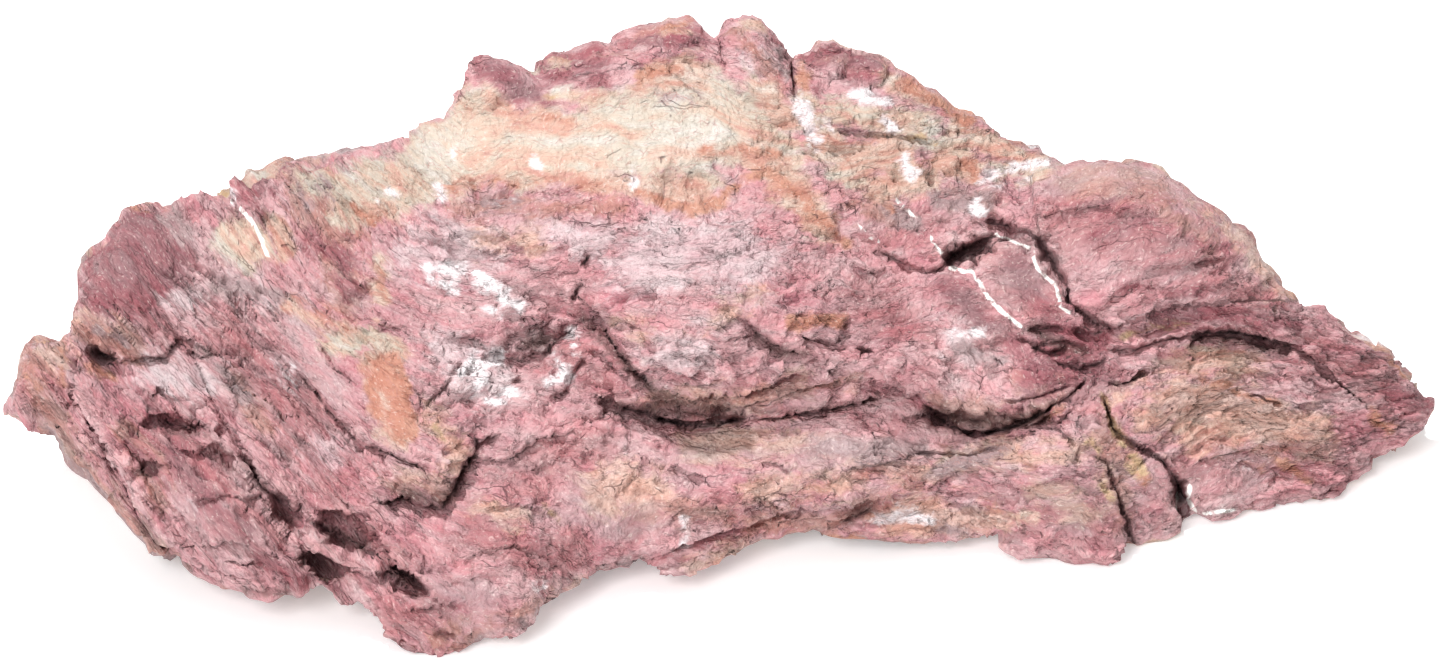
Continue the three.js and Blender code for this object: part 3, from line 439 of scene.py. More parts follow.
# Painted shade in the hollows and on the undersides.
SHADE = [
    (6, [(604, 402), (640, 410), (690, 416), (740, 414)]), (3, [(760, 414), (830, 408), (880, 400)]),
    (9, [(944, 414), (966, 424), (1000, 424), (1040, 416)]), (6, [(1196, 340), (1240, 340), (1285, 350)]),
    (6, [(404, 494), (440, 502), (455, 484)]), (7, [(656, 399), (690, 406), (726, 409)]),
    (8, [(330, 532), (362, 545)]), (7, [(304, 558), (334, 572)]), (5, [(278, 510), (292, 522)]),
    (4, [(140, 474), (158, 468)]), (4, [(168, 430), (205, 434)]), (4, [(214, 456), (232, 470)]),
    (4, [(395, 572), (418, 590)]), (5, [(97, 353), (112, 357)]), (6, [(950, 258), (985, 242)]),
    (6, [(581, 316), (599, 336), (635, 376), (664, 398), (700, 408)]), (5, [(524, 346), (548, 340)]),
    (6, [(756, 338), (780, 352), (806, 355)]), (6, [(1035, 330), (1060, 345), (1084, 352)]),
    (4, [(60, 440), (100, 500)]), (5, [(140, 520), (160, 548)]), (4, [(236, 592), (290, 594)]),
    (6, [(850, 520), (870, 508)]), (5, [(1126, 530), (1136, 546)]), (4, [(1120, 506), (1130, 524)]),
    (3, [(190, 350), (214, 354)]), (4, [(244, 458), (262, 486)]),
]
WHITE_VEINS = [
    (2.0, [(229, 200), (238, 207), (251, 220), (260, 237), (268, 258)]),
    (1.6, [(892, 195), (913, 216), (928, 235), (946, 258)]),
    (2.0, [(950, 268), (963, 272), (970, 270), (980, 283), (989, 299), (1003, 313), (1021, 326)]),
    (1.6, [(994, 233), (1013, 241), (1032, 250), (1037, 268), (1056, 286), (1060, 306), (1069, 313)]),
    (1.6, [(854, 222), (868, 236), (879, 242)]), (1.6, [(1177, 494), (1178, 508)]),
    (2.0, [(1190, 486), (1187, 498), (1196, 513)]), (1.6, [(1204, 513), (1237, 510)]),
]
# Cracks too thin for the mesh.
HAIR_CRACKS = [
    (1.6, [(655, 159), (672, 170), (700, 173), (718, 166)]), (1.4, [(656, 158), (690, 152), (716, 160)]),
    (1.4, [(664, 197), (682, 203), (706, 199), (724, 186)]), (1.2, [(850, 108), (872, 126), (866, 150)]),
    (1.2, [(905, 130), (918, 156), (908, 184)]), (1.2, [(822, 150), (846, 172), (880, 180)]),
    (1.2, [(660, 70), (676, 92), (670, 120)]), (1.0, [(596, 60), (604, 92), (600, 116)]),
    (1.4, [(724, 64), (733, 78), (748, 98), (758, 118), (768, 138)]),
    (1.2, [(516, 104), (540, 128), (562, 150)]), (1.0, [(709, 86), (709, 122), (700, 140)]),
    (1.2, [(799, 150), (816, 154), (828, 167)]), (1.0, [(837, 180), (843, 198), (856, 209)]),
    (1.0, [(300, 200), (312, 230), (308, 262)]), (1.0, [(330, 230), (345, 262), (340, 300)]),
    (1.0, [(703, 280), (715, 270)]), (1.0, [(774, 276), (782, 259)]), (1.0, [(560, 215), (600, 222)]),
    (1.2, [(886, 140), (880, 165), (868, 186)]), (1.0, [(930, 100), (940, 130), (936, 160)]),
    (2.2, [(1036, 347), (1050, 354), (1068, 358), (1076, 352)]),
    (2.0, [(1078, 362), (1096, 366), (1116, 357)]), (1.8, [(1082, 326), (1094, 332), (1108, 330)]),
    (1.6, [(1040, 368), (1060, 372), (1078, 380)]), (1.6, [(1060, 420), (1072, 406), (1080, 394)]),
    (1.4, [(1044, 404), (1052, 412), (1064, 410)]),
    (1.8, [(1100, 380), (1124, 384), (1146, 374), (1160, 366)]),
    (1.0, [(1014, 478), (1050, 470), (1096, 472)]), (1.0, [(1020, 532), (1060, 535), (1098, 531)]),
    (1.0, [(1030, 505), (1062, 498), (1088, 500)]), (1.0, [(1150, 452), (1200, 462), (1250, 462)]),
    (1.0, [(1180, 500), (1230, 492), (1280, 486)]), (1.2, [(1096, 226), (1140, 216), (1180, 222)]),
    (1.0, [(1110, 262), (1160, 254), (1215, 262)]), (1.2, [(1120, 290), (1190, 286), (1250, 290)]),
    (1.8, [(601, 236), (612, 231), (625, 228)]), (1.7, [(638, 213), (645, 217), (650, 222)]),
    (1.5, [(693, 212), (708, 222), (730, 232), (763, 228)]), (1.4, [(787, 238), (806, 244), (833, 247)]),
    (1.5, [(773, 263), (778, 277)]), (1.8, [(782, 278), (788, 285), (795, 282)]),
    (2.2, [(580, 267), (586, 260), (591, 256)]), (2.2, [(573, 299), (578, 292), (583, 285)]),
    (1.4, [(473, 248), (484, 252), (493, 250)]), (1.2, [(496, 236), (502, 246), (503, 254)]),
    (1.2, [(466, 238), (458, 226), (470, 220)]),
]
# Where the surface is smooth.
SMOOTH = [
    (40, [(118, 262), (160, 246)]), (26, [(235, 240), (255, 245)]),
    (36, [(450, 140), (600, 145), (720, 120)]), (10, [(946, 286), (972, 308), (1003, 333), (1025, 355)]),
    (30, [(1130, 250), (1180, 260)]), (20, [(380, 380), (395, 420)]), (20, [(500, 75), (560, 95)]),
    (26, [(1080, 250), (1010, 290)]), (22, [(150, 362), (204, 372)]), (20, [(190, 500), (240, 540)]),
    (20, [(700, 450), (840, 446)]), (24, [(580, 500), (640, 520)]), (20, [(1040, 490), (1090, 520)]),
    (22, [(300, 320), (340, 400)]), (20, [(1150, 480), (1240, 490)]), (16, [(430, 590), (480, 600)]),
    (22, [(1060, 170), (1140, 168), (1200, 205), (1260, 250)]), (14, [(1060, 510), (1080, 510)]),
]


# ---------------------------------------------------------------- numbers over whole arrays

def smooth_step(low, high, value):
    """0 below low, 1 above high, and an even climb between."""
    share = np.clip((value - low) / (high - low), 0, 1)
    return share * share * (3 - 2 * share)


def blurred(values, spread):
    """A row of numbers evened out by a bell curve."""
    reach = int(spread * 3)
    bell = np.exp(-0.5 * (np.arange(-reach, reach + 1) / spread) ** 2)
    return np.convolve(np.pad(values, reach, mode="edge"), bell / bell.sum(), mode="valid")


class Noise:
    """Gradient noise in three dimensions, the same on every run."""

    CORNERS = [(i, j, k) for i in (0, 1) for j in (0, 1) for k in (0, 1)]
    AROUND = [(i, j, k) for i in (-1, 0, 1) for j in (-1, 0, 1) for k in (-1, 0, 1)]
    TABLE = 256                 # slopes and cell values, used over and over
    GAIN = 1.6                  # brings the sum of eight corners to about -1 to 1
    LAYER_SHIFT = 17.3          # keeps the layers from lining up

    def __init__(self, seed):
        random = np.random.default_rng(seed)
        self.order = np.tile(random.permutation(self.TABLE), 3)
        slopes = random.normal(size=(self.TABLE, 3))
        self.slopes = slopes / np.linalg.norm(slopes, axis=1, keepdims=True)
        self.values = random.random((self.TABLE, 4))

    def cell(self, i, j, k):
        """The row of the tables that belongs to each whole-numbered cell."""
        last = self.TABLE - 1
        return self.order[self.order[self.order[i & last] + (j & last)] + (k & last)]

    def at(self, points):
        """About -1 to 1 at each point, with lumps about one unit across."""
        base = np.floor(points).astype(int)
        part = points - base
        ease = part ** 3 * (part * (part * 6 - 15) + 10)
        total = np.zeros(len(points))
        for corner in self.CORNERS:
            slope = self.slopes[self.cell(*(base + corner).T)]
            weight = np.prod(np.where(corner, ease, 1 - ease), axis=1)
            total += weight * np.einsum("ij,ij->i", slope, part - corner)
        return total * self.GAIN

    def layered(self, points, layers):
        """Noise with finer and fainter layers added, each half the size of the one before."""
        total = np.zeros(len(points))
        for layer in range(layers):
            total += self.at(points * 2 ** layer + self.LAYER_SHIFT * layer) / 2 ** layer
        return total

    def chips(self, points):
        """Broken facets: each cell is a tilted plane about one unit across. Returns its height
        and how near the point is to a border, 0 on the border itself."""
        base = np.floor(points).astype(int)
        nearest = np.full(len(points), np.inf)
        second = np.full(len(points), np.inf)
        height = np.zeros(len(points))
        for step in self.AROUND:
            corner = base + step
            index = self.cell(*corner.T)
            offset = points - corner - self.values[index, :3]
            distance = np.sqrt(np.einsum("ij,ij->i", offset, offset))
            closer = distance < nearest
            plane = np.einsum("ij,ij->i", offset, self.slopes[index])
            height = np.where(closer, plane + self.values[index, 3] - 0.5, height)
            second = np.where(closer, nearest, np.minimum(second, distance))
            nearest = np.where(closer, distance, nearest)
        return height, second - nearest


def to_line(pixels, line, reach):
    """For the pixels within reach of a line: which they are, how far off, on which side (1 above
    a line that runs to the right), and how far along it from 0 to 1."""
    points = np.array(line, float)
    near = np.all((pixels > points.min(0) - reach) & (pixels < points.max(0) + reach), axis=1)
    which = np.flatnonzero(near)
    here = pixels[which]
    steps = np.diff(points, axis=0)
    lengths = np.hypot(*steps.T)
    before = np.concatenate([[0], np.cumsum(lengths)])
    best = np.full(len(here), np.inf)
    side = np.zeros(len(here))
    along = np.zeros(len(here))
    for start, step, length, gone in zip(points, steps, lengths, before):
        share = np.clip((here - start) @ step / length ** 2, 0, 1)
        off = here - start - share[:, None] * step
        distance = np.hypot(*off.T)
        closer = distance < best
        best = np.where(closer, distance, best)
        side = np.where(closer, -np.sign(step[0] * off[:, 1] - step[1] * off[:, 0]), side)
        along = np.where(closer, (gone + share * length) / before[-1], along)
    return which, best, side, along


def stroke_mask(pixels, strokes, soft):
    """1 well inside the nearest of some strokes, 0 on its edge, down to -1 outside."""
    mask = np.full(len(pixels), -1.0)
    margin = 1.5 * soft
    for half, line in strokes:
        which, far, _, _ = to_line(pixels, line, half + margin)
        mask[which] = np.maximum(mask[which], np.clip((half - far) / soft, -1, 1))
    return mask


# ---------------------------------------------------------------- the plain form

def section_corners(xs):
    """The ten section points at each x, smoothly through the drawn sections."""
    knots = np.array([x for x, _ in SECTIONS])
    table = np.array([corners for _, corners in SECTIONS], float)
    slopes = np.gradient(table, knots, axis=0)
    first = np.clip(np.searchsorted(knots, xs) - 1, 0, len(knots) - 2)
    gap = (knots[first + 1] - knots[first])[:, None, None]
    s = (xs - knots[first])[:, None, None] / gap
    start, end = table[first], table[first + 1]
    leave, arrive = slopes[first] * gap, slopes[first + 1] * gap
    return cubic(start, leave, end, arrive, s)


def cubic(start, leave, end, arrive, s):
    """The cubic from start to end with these slopes at its ends."""
    return (start * (2 * s ** 3 - 3 * s ** 2 + 1) + leave * (s ** 3 - 2 * s ** 2 + s)
            + end * (3 * s ** 2 - 2 * s ** 3) + arrive * (s ** 3 - s ** 2))


def rings(xs):
    """Closed rings through the section points, as centripetal Catmull-Rom curves."""
    corners = section_corners(xs)
    count = corners.shape[1]
    parts = []
    for span, steps in enumerate(SPAN_STEPS):
        a, b, c, d = (corners[:, (span + k) % count] for k in (-1, 0, 1, 2))
        t0, t1, t2 = (np.sqrt(np.linalg.norm(q - p, axis=1) + 1e-6)[:, None]
                      for p, q in ((a, b), (b, c), (c, d)))
        leave = ((b - a) / t0 - (c - a) / (t0 + t1) + (c - b) / t1) * t1
        arrive = ((c - b) / t1 - (d - b) / (t1 + t2) + (d - c) / t2) * t1
        for step in range(steps):
            parts.append(cubic(b, leave, c, arrive, step / steps))
    yz = np.stack(parts, axis=1)
    x = np.broadcast_to(xs[:, None, None], yz.shape[:2] + (1,))
    return np.concatenate([x, yz], axis=2)


EVEN, GATHERED = 0.8, 0.2       # how evenly the rings stand, and how much they gather at the ends


def station_places():
    """Even along the stone, and closer towards the two ends."""
    end = SECTIONS[-1][0]
    share = np.linspace(-1, 1, STATIONS)
    return end * (EVEN * share + GATHERED * np.sin(share * math.pi / 2))


def normals_of(grid):
    """The unit direction that each point of the grid faces."""
    along = np.gradient(grid, axis=0)
    around = (np.roll(grid, -1, axis=1) - np.roll(grid, 1, axis=1)) / 2
    normal = np.cross(along, around)
    return normal / (np.linalg.norm(normal, axis=2, keepdims=True) + 1e-9)


def blur_grid(field, times):
    """Evens a field out a little, along the stone and around it."""
    for _ in range(times):
        field = (2 * field + np.roll(field, 1, axis=1) + np.roll(field, -1, axis=1)) / 4
        inner = (2 * field[1:-1] + field[:-2] + field[2:]) / 4
        field = np.concatenate([field[:1], inner, field[-1:]])
    return field


COLUMNS = np.arange(VIEW_WIDTH)
TOP_LINE = np.interp(COLUMNS, *np.array(TOP_EDGE).T)
BOTTOM_LINE = np.interp(COLUMNS, *np.array(BOTTOM_EDGE).T)
EDGE_BLUR = 12              # pixels: what is finer than this is moved only close to the edge
BROAD_REACH, FINE_REACH = 48, 9
TRIM_WIDTH = 7              # pixels in one column of the trimming
TRIM_BLUR = 1.8             # columns


def meet_edges(grid):
    """Slides each ring up and forwards until its top and bottom meet the drawn outline."""
    for line, upwards in ((TOP_LINE, True), (BOTTOM_LINE, False)):
        pixels = project(grid.reshape(-1, 3)).reshape(grid.shape[:2] + (2,))
        v = pixels[:, :, 1]
        edge = np.argmin(v, axis=1) if upwards else np.argmax(v, axis=1)
        ring = np.arange(len(grid))
        edge_u, edge_v = pixels[ring, edge].T
        broad_line = np.interp(edge_u, COLUMNS, blurred(line, EDGE_BLUR))
        broad = (edge_v - broad_line)[:, None]
        fine = (broad_line - np.interp(edge_u, COLUMNS, line))[:, None]
        off = np.abs(v - edge_v[:, None])
        rise = broad * np.exp(-(off / BROAD_REACH) ** 2) + fine * np.exp(-(off / FINE_REACH) ** 2)
        if upwards:
            grid = grid + UP * (rise * PIXEL)[:, :, None]
        else:
            grid = grid + np.array([0, 1, 0]) * (rise * PIXEL / math.sin(ELEVATION))[:, :, None]
    return grid


def trim_to_edges(points, most, reach):
    """Evens out what the relief has done to the outline, by at most so many pixels and within
    reach pixels of it."""
    pixels = project(points)
    column = np.clip((pixels[:, 0] / TRIM_WIDTH).astype(int), 0, VIEW_WIDTH // TRIM_WIDTH)
    middles = (np.arange(VIEW_WIDTH // TRIM_WIDTH + 1) + 0.5) * TRIM_WIDTH
    moved = np.zeros(len(points))
    for line, sign in ((TOP_LINE, 1), (BOTTOM_LINE, -1)):
        edge = np.full(len(middles), np.inf)
        np.minimum.at(edge, column, pixels[:, 1] * sign)
        wanted = np.interp(middles, COLUMNS, line) * sign
        gap = np.where(np.isfinite(edge), np.nan_to_num(edge, posinf=0) - wanted, 0)
        gap = blurred(np.clip(gap, -most, most), TRIM_BLUR)
        off = (pixels[:, 1] * sign - np.where(np.isfinite(edge), edge, 0)[column]) / reach
        moved += sign * np.interp(pixels[:, 0], middles, gap) * np.exp(-off ** 2)
    return points + UP * (moved * PIXEL)[:, None]


# ---------------------------------------------------------------- the drawn relief

LINE_SEEN = 2.5                 # how many of its reaches or widths from a line it is still felt
RAGGED_SIZE, RAGGED_PUSH = 11, 3.0      # pixels: the waver of the lines, and how far it pushes them
RIM_SCALE = 0.9                 # how fine the ragged rims are beside that waver
HOLLOW_RAGGED, HOLLOW_STEEPNESS = 1.1, 1.6
FULL_ROLL = 6                   # mm: the step from which a ledge's lip is rolled over wholly
ROLL_WIDTH, LIP_WIDTH, CUT_WIDTH = 0.36, 0.75, 0.3      # in the ledge's reach
LEDGE_SHARE = 0.6               # of the step, out at the lip and again in at the cut
CRACK_HALF, CRACK_UNEVEN, CRACK_STEEPNESS = 0.42, 0.45, 4   # the first in the crack's width
LEDGE_FADE, CRACK_FADE, CRACK_END = 0.12, 0.1, 0.3  # shares of a line that fade, and of depth that stays


def add_lumps(height, pixels, rim):
    """Adds the swellings as soft bells, and the hollows with steeper, ragged rims."""
    for (u, v), (across, up), turn, swell in LUMPS:
        angle = math.radians(turn)
        du, dv = (pixels - (u, v)).T
        p = (du * math.cos(angle) + dv * math.sin(angle)) / across
        q = (dv * math.cos(angle) - du * math.sin(angle)) / up
        reach = p * p + q * q
        if swell < 0:
            reach = (reach * np.exp(HOLLOW_RAGGED * rim)) ** HOLLOW_STEEPNESS
        height += swell * np.exp(-reach)


def line_ends(along, share):
    """1 along a line, fading to 0 over this share of it at both ends."""
    return smooth_step(0, share, along) * (1 - smooth_step(1 - share, 1, along))


def add_ledges(height, pixels):
    """Adds the ledges: each swells to a lip above its line and is cut back below it."""
    for step, reach, line in LEDGES:
        which, far, side, along = to_line(pixels, line, reach * LINE_SEEN)
        rolled = min(step / FULL_ROLL, 1) * np.exp(-(far / (reach * ROLL_WIDTH)) ** 2)
        lip = np.exp(-far / (reach * LIP_WIDTH)) * (1 - rolled)
        cut = np.exp(-far / (reach * CUT_WIDTH))
        ends = line_ends(along, LEDGE_FADE)
        height[which] += step * LEDGE_SHARE * ends * np.where(side > 0, lip, -cut)


def add_cracks(height, pixels, rim):
    """Sinks the cracks, with steep sides, uneven widths and shallow ends."""
    for width, depth, line in CRACKS:
        which, far, _, along = to_line(pixels, line, width * LINE_SEEN)
        ends = line_ends(along, CRACK_FADE) * (1 - CRACK_END) + CRACK_END
        opened = width * CRACK_HALF * np.exp(CRACK_UNEVEN * rim[which])
        height[which] -= depth * ends * np.exp(-(far / opened) ** CRACK_STEEPNESS)


def drawn_relief(pixels):
    """The lumps, ledges and cracks of the front, in mm out of the leaning plane."""
    height = np.zeros(len(pixels))
    noise = Noise(SEED + 1)
    flat = np.column_stack([pixels / RAGGED_SIZE, np.zeros(len(pixels))])
    waver = np.column_stack([noise.layered(flat, 3), noise.layered(flat + 50, 3)])
    ragged = pixels + RAGGED_PUSH * waver
    rim = noise.layered(flat * RIM_SCALE + 80, 3)
    add_lumps(height, ragged, rim)
    add_ledges(height, ragged)
    add_cracks(height, (pixels + ragged) / 2, rim)
    return height


# ---------------------------------------------------------------- the grain and the fine relief

LEVEL_V = 405                   # the row of pixels on which the grain runs level
DIVE_U, DIVE_SLOPE, DIVE_SOFT = 470, 1.1, 110       # left of this column the grain dives
CLIMB_U, CLIMB_SLOPE = 1000, 0.32                   # right of it the grain climbs over the lobe
CLOSE_U, CLOSE_LENGTH, CLOSE_SHARE = 1100, 337, 0.7     # from here it closes up towards the tip
WAVE_SIZE, WAVE_PUSH = np.array([46, 40, 30]), 26       # mm, and pixels


def grain_places(points, pixels):
    """Places whose first number runs along the grain and whose second runs across it, in mm.

    The grain runs level through the middle, dives to the left, rises over the right lobe and
    closes up towards the tip."""
    u, v = pixels.T
    left = np.clip(DIVE_U - u, 0, None)
    dive = DIVE_SLOPE * left ** 2 / (left + DIVE_SOFT)
    over_lobe = v < np.interp(u, *np.array(LOBE_FOOT).T)
    climb = CLIMB_SLOPE * np.clip(u - CLIMB_U, 0, None)
    close = 1 + CLOSE_SHARE * np.clip((u - CLOSE_U) / CLOSE_LENGTH, 0, None)
    level = np.where(over_lobe, v + climb, LEVEL_V + (v - LEVEL_V) * close)
    wave = WAVE_PUSH * Noise(SEED + 9).layered(points / WAVE_SIZE, 2)
    return np.column_stack([points[:, 0], -(level + dive + wave) * PIXEL, points @ OUT])


# Sizes along, across and out of the grain: of a flake's waver and of a patch of flakes, in
# spacings, and of a chip, in its own size.
WAVER_SHAPE = np.array([4.2, 2.4, 3])
PATCH_SHAPE = np.array([3.4, 2.4, 3])
CHIP_SHAPE = np.array([1.7, 1, 1.2])
FLAKE_WAVER = 1.9               # spacings
FLAKE_CURVE, FLAKE_MEAN = 1.8, 0.36     # how a flake rises to its lip, and its mean height


def flakes(places, spacing, seed):
    """Split layers that follow the grain: each rises slowly to a lip and drops away below it."""
    noise = Noise(seed)
    wander = noise.layered(places / (WAVER_SHAPE * spacing), 4)
    level = -places[:, 1] / spacing + FLAKE_WAVER * wander
    share = level - np.floor(level)
    patch = smooth_step(-0.3, 0.4, noise.at(places / (PATCH_SHAPE * spacing) + 31))
    return (share ** FLAKE_CURVE - FLAKE_MEAN) * patch


def groove(edge, depth, width):
    """The depth on the border between two chips, and 0 from this share of a chip inwards."""
    return depth * (1 - smooth_step(0, width, edge))


# The broken surface: sizes across in mm, then heights in mm.
LARGE_CHIP, SMALL_CHIP, TINY_CHIP = 9, 4.0, 1.9
LARGE_HEIGHT, SMALL_HEIGHT, TINY_HEIGHT = 1.05, 0.72, 0.36
CRUMBLY_LARGE, CRUMBLY_SMALL = 0.7, 0.6                 # more height where the stone is crumbly
LARGE_GROOVE, SMALL_GROOVE, CRUMBLY_GROOVE = (0.5, 0.07), (0.25, 0.1), (0.5, 0.06)  # depth, width
SWELL_SIZE, SWELL_HEIGHT = np.array([9, 5, 6]), 0.5
GRIT_SIZE, GRIT_HEIGHT = 1.3, 0.14
FLAKES = ((6.5, 1.3), (3.4, 0.85), (1.8, 0.5))          # spacing and height
WARP_SIZE, WARP_PUSH = 8, 1.9                           # what makes the chips uneven
CRUMBLY_FROM, CRUMBLY_TO = 420, 230     # pixels: rougher left of the first, fully so at the second
CALM_SHARE = 0.75                       # how much of the fine relief the smooth places lose


def broken_surface(noise, places, warp, crumbly):
    """Chips, flakes and grit in mm, higher where the stone is crumbly."""
    warped = places + warp
    large, large_edge = noise.chips(warped / (LARGE_CHIP * CHIP_SHAPE))
    small, small_edge = noise.chips(warped / (SMALL_CHIP * CHIP_SHAPE) + 9)
    tiny, _ = noise.chips(warped / (TINY_CHIP * CHIP_SHAPE) + 23)
    coarse, middle, fine = (high * flakes(places, spacing, SEED + 3 + turn)
                            for turn, (spacing, high) in enumerate(FLAKES))
    height = LARGE_HEIGHT * large + SMALL_HEIGHT * small + TINY_HEIGHT * tiny
    height -= groove(large_edge, *LARGE_GROOVE) + groove(small_edge, *SMALL_GROOVE)
    height += SWELL_HEIGHT * noise.layered(places / SWELL_SIZE + 55, 2)
    height += coarse + middle
    height += fine + GRIT_HEIGHT * noise.layered(places / GRIT_SIZE, 3)
    chips = CRUMBLY_LARGE * large + CRUMBLY_SMALL * small
    height += crumbly * (chips - groove(small_edge, *CRUMBLY_GROOVE))
    return height


# The hidden sides: sizes across in mm, then heights in mm.
HIDDEN_SWELL, HIDDEN_CHIP, HIDDEN_LEDGE, HIDDEN_BLOCK, CRACKED_PATCH = 34, 16, 13, 21, 24
HIDDEN_SWELL_HEIGHT, HIDDEN_CHIP_HEIGHT, HIDDEN_LEDGE_HEIGHT = 3.5, 1.6, 2.2
HIDDEN_CRACK_DEPTH, HIDDEN_CRACK_WIDTH, HIDDEN_WARP = 2.6, 0.05, 1.6    # mm, share of a block, gain


def add_hidden_forms(height, points, places, warp, behind):
    """Adds broad swells, large chips, ledges and cracks on the sides that the picture hides."""
    noise = Noise(SEED + 6)
    swells = HIDDEN_SWELL_HEIGHT * noise.at(points / HIDDEN_SWELL)
    chips = HIDDEN_CHIP_HEIGHT * noise.chips(points / (HIDDEN_CHIP * CHIP_SHAPE))[0]
    height += behind * (swells + chips)
    height += behind * HIDDEN_LEDGE_HEIGHT * flakes(places, HIDDEN_LEDGE, SEED + 7)
    blocks = (places + warp * HIDDEN_WARP) / (HIDDEN_BLOCK * CHIP_SHAPE) + 5
    cracked = smooth_step(0.0, 0.3, noise.at(points / CRACKED_PATCH + 12))
    open_edge = groove(noise.chips(blocks)[1], 1, HIDDEN_CRACK_WIDTH)
    height -= behind * HIDDEN_CRACK_DEPTH * cracked * open_edge


def fine_relief(points, pixels, facing, calm):
    """The fine relief all over the stone, in mm along its own surface."""
    places = grain_places(points, pixels)
    noise = Noise(SEED + 2)
    warp = np.column_stack([noise.layered(places / WARP_SIZE + k * 40, 3) for k in range(3)]) * WARP_PUSH
    crumbly = (1 - smooth_step(CRUMBLY_TO, CRUMBLY_FROM, pixels[:, 0])) * facing
    height = broken_surface(noise, places, warp, crumbly)
    height *= 1 - CALM_SHARE * calm
    add_hidden_forms(height, points, places, warp, 1 - facing)
    return height


# ---------------------------------------------------------------- building the stone

FIXED_FRONT, FIXED_BACK = 0.6, 0.4      # weights of the mean y behind which the depth gives
FACING_SOFT = 0.45              # how far a surface turns to the front before it is drawn on wholly
RIM_SOFT = 0.3                  # how far it turns before it is no longer part of the outline's rim
END_FADE = 6                    # mm: the fine relief fades out towards both ends
FIRST_TRIM, SECOND_TRIM = (14, 26), (6, 18)     # pixels: the most, and the reach
FACING_BLUR, OUTWARD_BLUR, RIM_BLUR = 3, 4, 5       # rounds of blur
NEAR_BLUR, FAR_BLUR = 3, 22     # rounds of blur: what stands lower in the first is a hollow
SMOOTH_SOFT = 20                # pixels


def fit_depth(points):
    """Draws the back in or out until the stone is as deep as its solid."""
    depth = (cad_high[1] - cad_low[1]) / MM
    low, high = points[:, 1].min(), points[:, 1].max()
    middle = FIXED_FRONT * low + FIXED_BACK * high
    share = np.clip((points[:, 1] - middle) / (high - middle), 0, None)
    points[:, 1] += share * (low + depth - high)
    return points


def stone_grid():
    """The whole surface as rings of points in mm, and at each point how far it stands out of its
    surroundings, how far it faces the picture and how smooth it is."""
    grid = meet_edges(rings(station_places()))
    shape = grid.shape
    facing = smooth_step(0.0, FACING_SOFT, blur_grid(normals_of(grid), FACING_BLUR) @ OUT).ravel()
    points = grid.reshape(-1, 3)
    pixels = project(points)
    drawn = drawn_relief(pixels) * facing
    points = points + OUT * drawn[:, None]
    calm = smooth_step(-0.6, 0.8, stroke_mask(pixels, SMOOTH, SMOOTH_SOFT)) * facing
    rough = fine_relief(points, pixels, facing, calm)
    rough *= smooth_step(0, END_FADE, SECTIONS[-1][0] - np.abs(points[:, 0]))
    outward = blur_grid(normals_of(points.reshape(shape)), OUTWARD_BLUR).reshape(-1, 3)
    rim = np.exp(-((outward @ OUT) / RIM_SOFT) ** 2)
    rough += rim * (blur_grid(rough.reshape(shape[:2]), RIM_BLUR).ravel() - rough)
    points = points + outward * rough[:, None]
    points = trim_to_edges(fit_depth(points), *FIRST_TRIM)
    points = fit_depth(trim_to_edges(points, *SECOND_TRIM))
    points[:, 2] = np.maximum(points[:, 2], 0)
    relief = (drawn + rough).reshape(shape[:2])
    hollow = (blur_grid(relief, NEAR_BLUR) - blur_grid(relief, FAR_BLUR)).ravel()
    return points.reshape(shape), {"hollow": hollow, "facing": facing, "calm": calm}


def faces_of(shape):
    """Quads between rings, and a fan on the middle of each end ring."""
    count, around = shape[:2]
    start = np.arange(count - 1)[:, None] * around
    here = np.arange(around)[None, :]
    after = (here + 1) % around
    quads = np.stack([start + here, start + around + here, start + around + after, start + after], axis=2)
    last = (count - 1) * around
    middle = count * around
    fans = [(middle, i, (i + 1) % around) for i in range(around)]
    fans += [(middle + 1, last + (i + 1) % around, last + i) for i in range(around)]
    return quads.reshape(-1, 4).tolist() + fans


def place_in_frame(points):
    """The step, in mm, from the drawn places to the frame: the two boxes share their middle."""
    low, high = points.min(0), points.max(0)
    cad_middle = (np.array(cad_low) + np.array(cad_high)) / 2
    step = cad_middle / MM - (low + high) / 2
    step[2] = cad_low[2] / MM - low[2]
    return step


def thin_out(stone):
    """Merges triangles where the surface is plain, down to the limit for one piece."""
    triangles = sum(len(face.vertices) - 2 for face in stone.data.polygons)
    if triangles <= MOST_TRIANGLES:
        return
    thinner = stone.modifiers.new("thinner", "DECIMATE")
    thinner.ratio = MOST_TRIANGLES / triangles
    bpy.context.view_layer.objects.active = stone
    bpy.ops.object.modifier_apply(modifier=thinner.name)


def build_stone():
    """The stone as an object in the frame, and the step in mm from the drawing to the frame."""
    grid, notes = stone_grid()
    points = np.concatenate([grid.reshape(-1, 3), grid[0].mean(0)[None], grid[-1].mean(0)[None]])
    step = place_in_frame(points)
    mesh = bpy.data.meshes.new("stone")
    mesh.from_pydata(((points + step) * MM).tolist(), [], faces_of(grid.shape))
    for name, values in notes.items():
        set_values(mesh, name, np.append(values, [0, 0]))
    stone = bpy.data.objects.new("stone", mesh)
    bpy.context.collection.objects.link(stone)
    thin_out(stone)
    stone.data.shade_smooth()
    return stone, step


# ---------------------------------------------------------------- masks on the mesh

def set_values(mesh, name, values):
    """Writes a number or a direction at each of the mesh's points."""
    kind, field = ("FLOAT", "value") if values.ndim == 1 else ("FLOAT_VECTOR", "vector")
    layer = mesh.attributes.get(name) or mesh.attributes.new(name, kind, "POINT")
    layer.data.foreach_set(field, np.ascontiguousarray(values, dtype=np.float32).ravel())


def get_values(mesh, name):
    """Reads a number at each of the mesh's points."""
    values = np.empty(len(mesh.vertices), dtype=np.float32)
    mesh.attributes[name].data.foreach_get("value", values)
    return values.astype(float)


